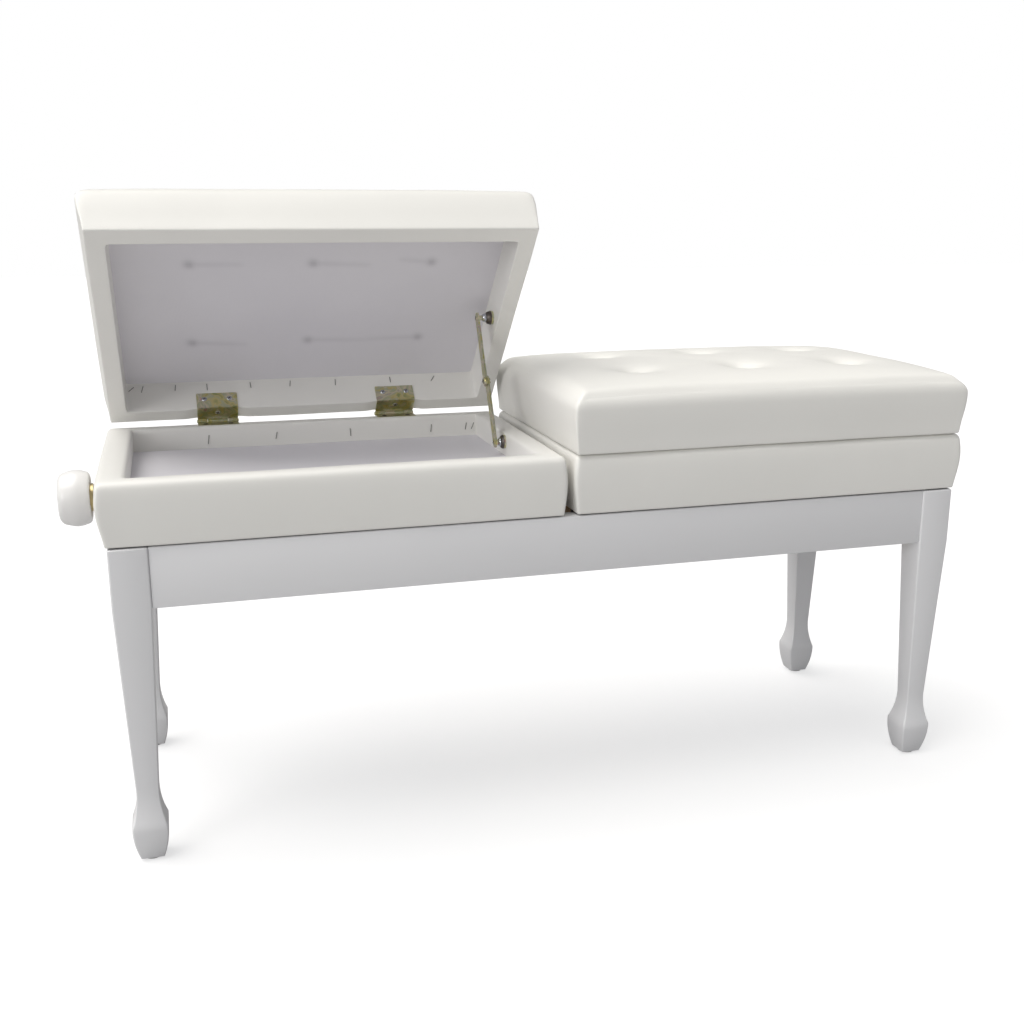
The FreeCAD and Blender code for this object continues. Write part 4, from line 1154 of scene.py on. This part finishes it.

# %% [markdown]
# ## Knobs
# The height knob is turned from one blank: a flat face, a full round edge and a hollowed back. A
# dark disc round the brass collar is painted shade in the hollow. Half its section is drawn once and
# spun about the spindle.

# %% Knobs and collars
knob_low, knob_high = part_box("right_knob")
knob_y = (knob_low.y + knob_high.y) / 2
knob_z = (knob_low.z + knob_high.z) / 2
knob_radius = (knob_high.z - knob_low.z) / 2
knob_length = knob_high.x - knob_low.x


def spun_about_spindle(name, profile, sharp=35):
    bm = bmesh.new()
    verts = [bm.verts.new((knob_low.x + x, knob_y, knob_z + radius)) for x, radius in profile]
    edges = [bm.edges.new(pair) for pair in zip(verts, verts[1:])]
    bmesh.ops.spin(bm, geom=verts + edges, cent=(knob_low.x, knob_y, knob_z), axis=(1, 0, 0),
                   angle=math.tau, steps=64, use_merge=True)
    bmesh.ops.remove_doubles(bm, verts=bm.verts, dist=0.01 * MM)
    return as_mesh(name, bm, sharp)


def round_edge(centre_x, centre_r, radius, start, end, steps):
    for i in range(steps + 1):
        angle = math.radians(start + (end - start) * i / steps)
        yield centre_x + radius * math.cos(angle), centre_r + radius * math.sin(angle)


def knob_profile():
    """From the hollow back, round the barrel-shaped edge, to the face's middle."""
    front, back, barrel = 9 * MM, 5 * MM, 2.2 * MM
    shoulder = knob_radius - barrel
    points = [(6 * MM, 7.2 * MM), (6 * MM, knob_radius - 13 * MM), (1.2 * MM, shoulder - 7 * MM)]
    points += round_edge(back, shoulder - back, back, 180, 104, 6)
    middle, span = (back + knob_length - front) / 2, (knob_length - front - back) / 2
    points += [(middle + span * t, shoulder + barrel * (1 - t * t))
               for t in (-0.6, -0.3, 0, 0.3, 0.6)]
    points += round_edge(knob_length - front, shoulder - front, front, 78, 12, 8)
    points += [(knob_length - 0.2 * MM, knob_radius * 0.45), (knob_length, 0.0)]
    return points


knob_mesh = spun_about_spindle("turned_knob", knob_profile(), 50)
both_sides("turned_knob", knob_mesh, [GLOSS], "knob", ["knob"])
collar = [(-3.3 * MM, 0.0), (-3.3 * MM, 14.6 * MM), (-2.8 * MM, 15.2 * MM), (0.3 * MM, 15.2 * MM),
          (0.5 * MM, 9.2 * MM), (5.6 * MM, 8.6 * MM), (5.6 * MM, 0.0)]
both_sides("brass_collar", spun_about_spindle("brass_collar", collar), [BRASS], "knob")
# A dark disc on the floor of the hollow back, painted shade for the recess.
recess = [(6.2 * MM, 0.0), (6.2 * MM, knob_radius - 12.4 * MM), (5.6 * MM, knob_radius - 12.2 * MM),
          (5.6 * MM, 0.0)]
both_sides("knob_recess_shade", spun_about_spindle("knob_recess_shade", recess), [BLACKENED_AND_SHADE], "knob")
print("knob", round(knob_radius * 2 / MM), "mm across")

# %% [markdown]
# ## The studio
# A pale seamless floor, a broad soft light from above and behind the left shoulder, and a bright
# even surround. The tops catch the overhead light and the front faces stay in soft shade.

# %% Floor
def make_floor_finish():
    """Pale paper. Half of what the eye sees glows, so that it stays white and its shadows faint."""
    finish, tree, shader = new_finish("studio floor", 0.8)
    feed_colour(tree, shader, (0.46, 0.46, 0.465), (0.44, 0.44, 0.445), 2.0)
    glow = tree.nodes.new("ShaderNodeEmission")
    glow.inputs["Color"].default_value = (1, 1, 1, 1)
    path = tree.nodes.new("ShaderNodeLightPath")
    both = tree.nodes.new("ShaderNodeAddShader")
    seen = tree.nodes.new("ShaderNodeMixShader")
    tree.links.new(shader.outputs[0], both.inputs[0])
    tree.links.new(glow.outputs[0], both.inputs[1])
    glow.inputs["Strength"].default_value = 0.62
    tree.links.new(path.outputs["Is Camera Ray"], seen.inputs[0])
    tree.links.new(shader.outputs[0], seen.inputs[1])
    tree.links.new(both.outputs[0], seen.inputs[2])
    tree.links.new(seen.outputs[0], tree.nodes["Material Output"].inputs["Surface"])
    return finish


floor_bm = bmesh.new()
bmesh.ops.create_grid(floor_bm, x_segments=1, y_segments=1, size=12)
floor = bpy.data.objects.new("studio_floor", as_mesh("studio_floor", floor_bm))
floor.data.materials.append(make_floor_finish())
bpy.context.scene.collection.objects.link(floor)

# %% Surround
def make_surround():
    """White to the eye, but dimmer as a light, so that the overhead light shapes the forms."""
    world = bpy.data.worlds.new("studio surround")
    world.use_nodes = True
    tree = world.node_tree
    dim = tree.nodes["Background"]
    dim.inputs["Color"].default_value = (0.97, 0.98, 1.0, 1)
    dim.inputs["Strength"].default_value = 0.30
    white = tree.nodes.new("ShaderNodeBackground")
    white.inputs["Color"].default_value = (1, 1, 1, 1)
    path = tree.nodes.new("ShaderNodeLightPath")
    choose = tree.nodes.new("ShaderNodeMixShader")
    tree.links.new(path.outputs["Is Camera Ray"], choose.inputs[0])
    tree.links.new(dim.outputs[0], choose.inputs[1])
    tree.links.new(white.outputs[0], choose.inputs[2])
    tree.links.new(choose.outputs[0], tree.nodes["World Output"].inputs["Surface"])
    return world


bpy.context.scene.world = make_surround()
bpy.context.scene.view_settings.view_transform = "Standard"


# %% Overhead light
def add_sun(name, direction, strength, spread, colour):
    """A light from very far away, whose spread in degrees makes its shadows soft."""
    lamp = bpy.data.lights.new(name, "SUN")
    lamp.energy = strength
    lamp.angle = math.radians(spread)
    lamp.color = colour
    holder = bpy.data.objects.new(name, lamp)
    holder.rotation_euler = Vector(direction).to_track_quat("Z", "Y").to_euler()
    bpy.context.scene.collection.objects.link(holder)
    return holder


add_sun("overhead", (-0.38, 0.10, 0.92), 2.8, 60, (1.0, 0.98, 0.94))
add_sun("front fill", (-0.78, -0.56, 0.30), 0.90, 30, (1.0, 0.995, 0.985))

# %% [markdown]
# ## The camera
# The camera stands in front of the left seat, a little above the lids, and looks down and to the
# right, so that the open box, its hinges and the left knob all show.

# %% Camera
camera = bpy.data.objects.new("camera", bpy.data.cameras.new("camera"))
camera.location = (-0.4033, -1.3533, 0.6644)
camera.rotation_euler = (math.radians(90 - 14.29), 0, math.radians(-16.01))
camera.data.sensor_width = 36
camera.data.lens = 41.39
bpy.context.scene.collection.objects.link(camera)
bpy.context.scene.camera = camera
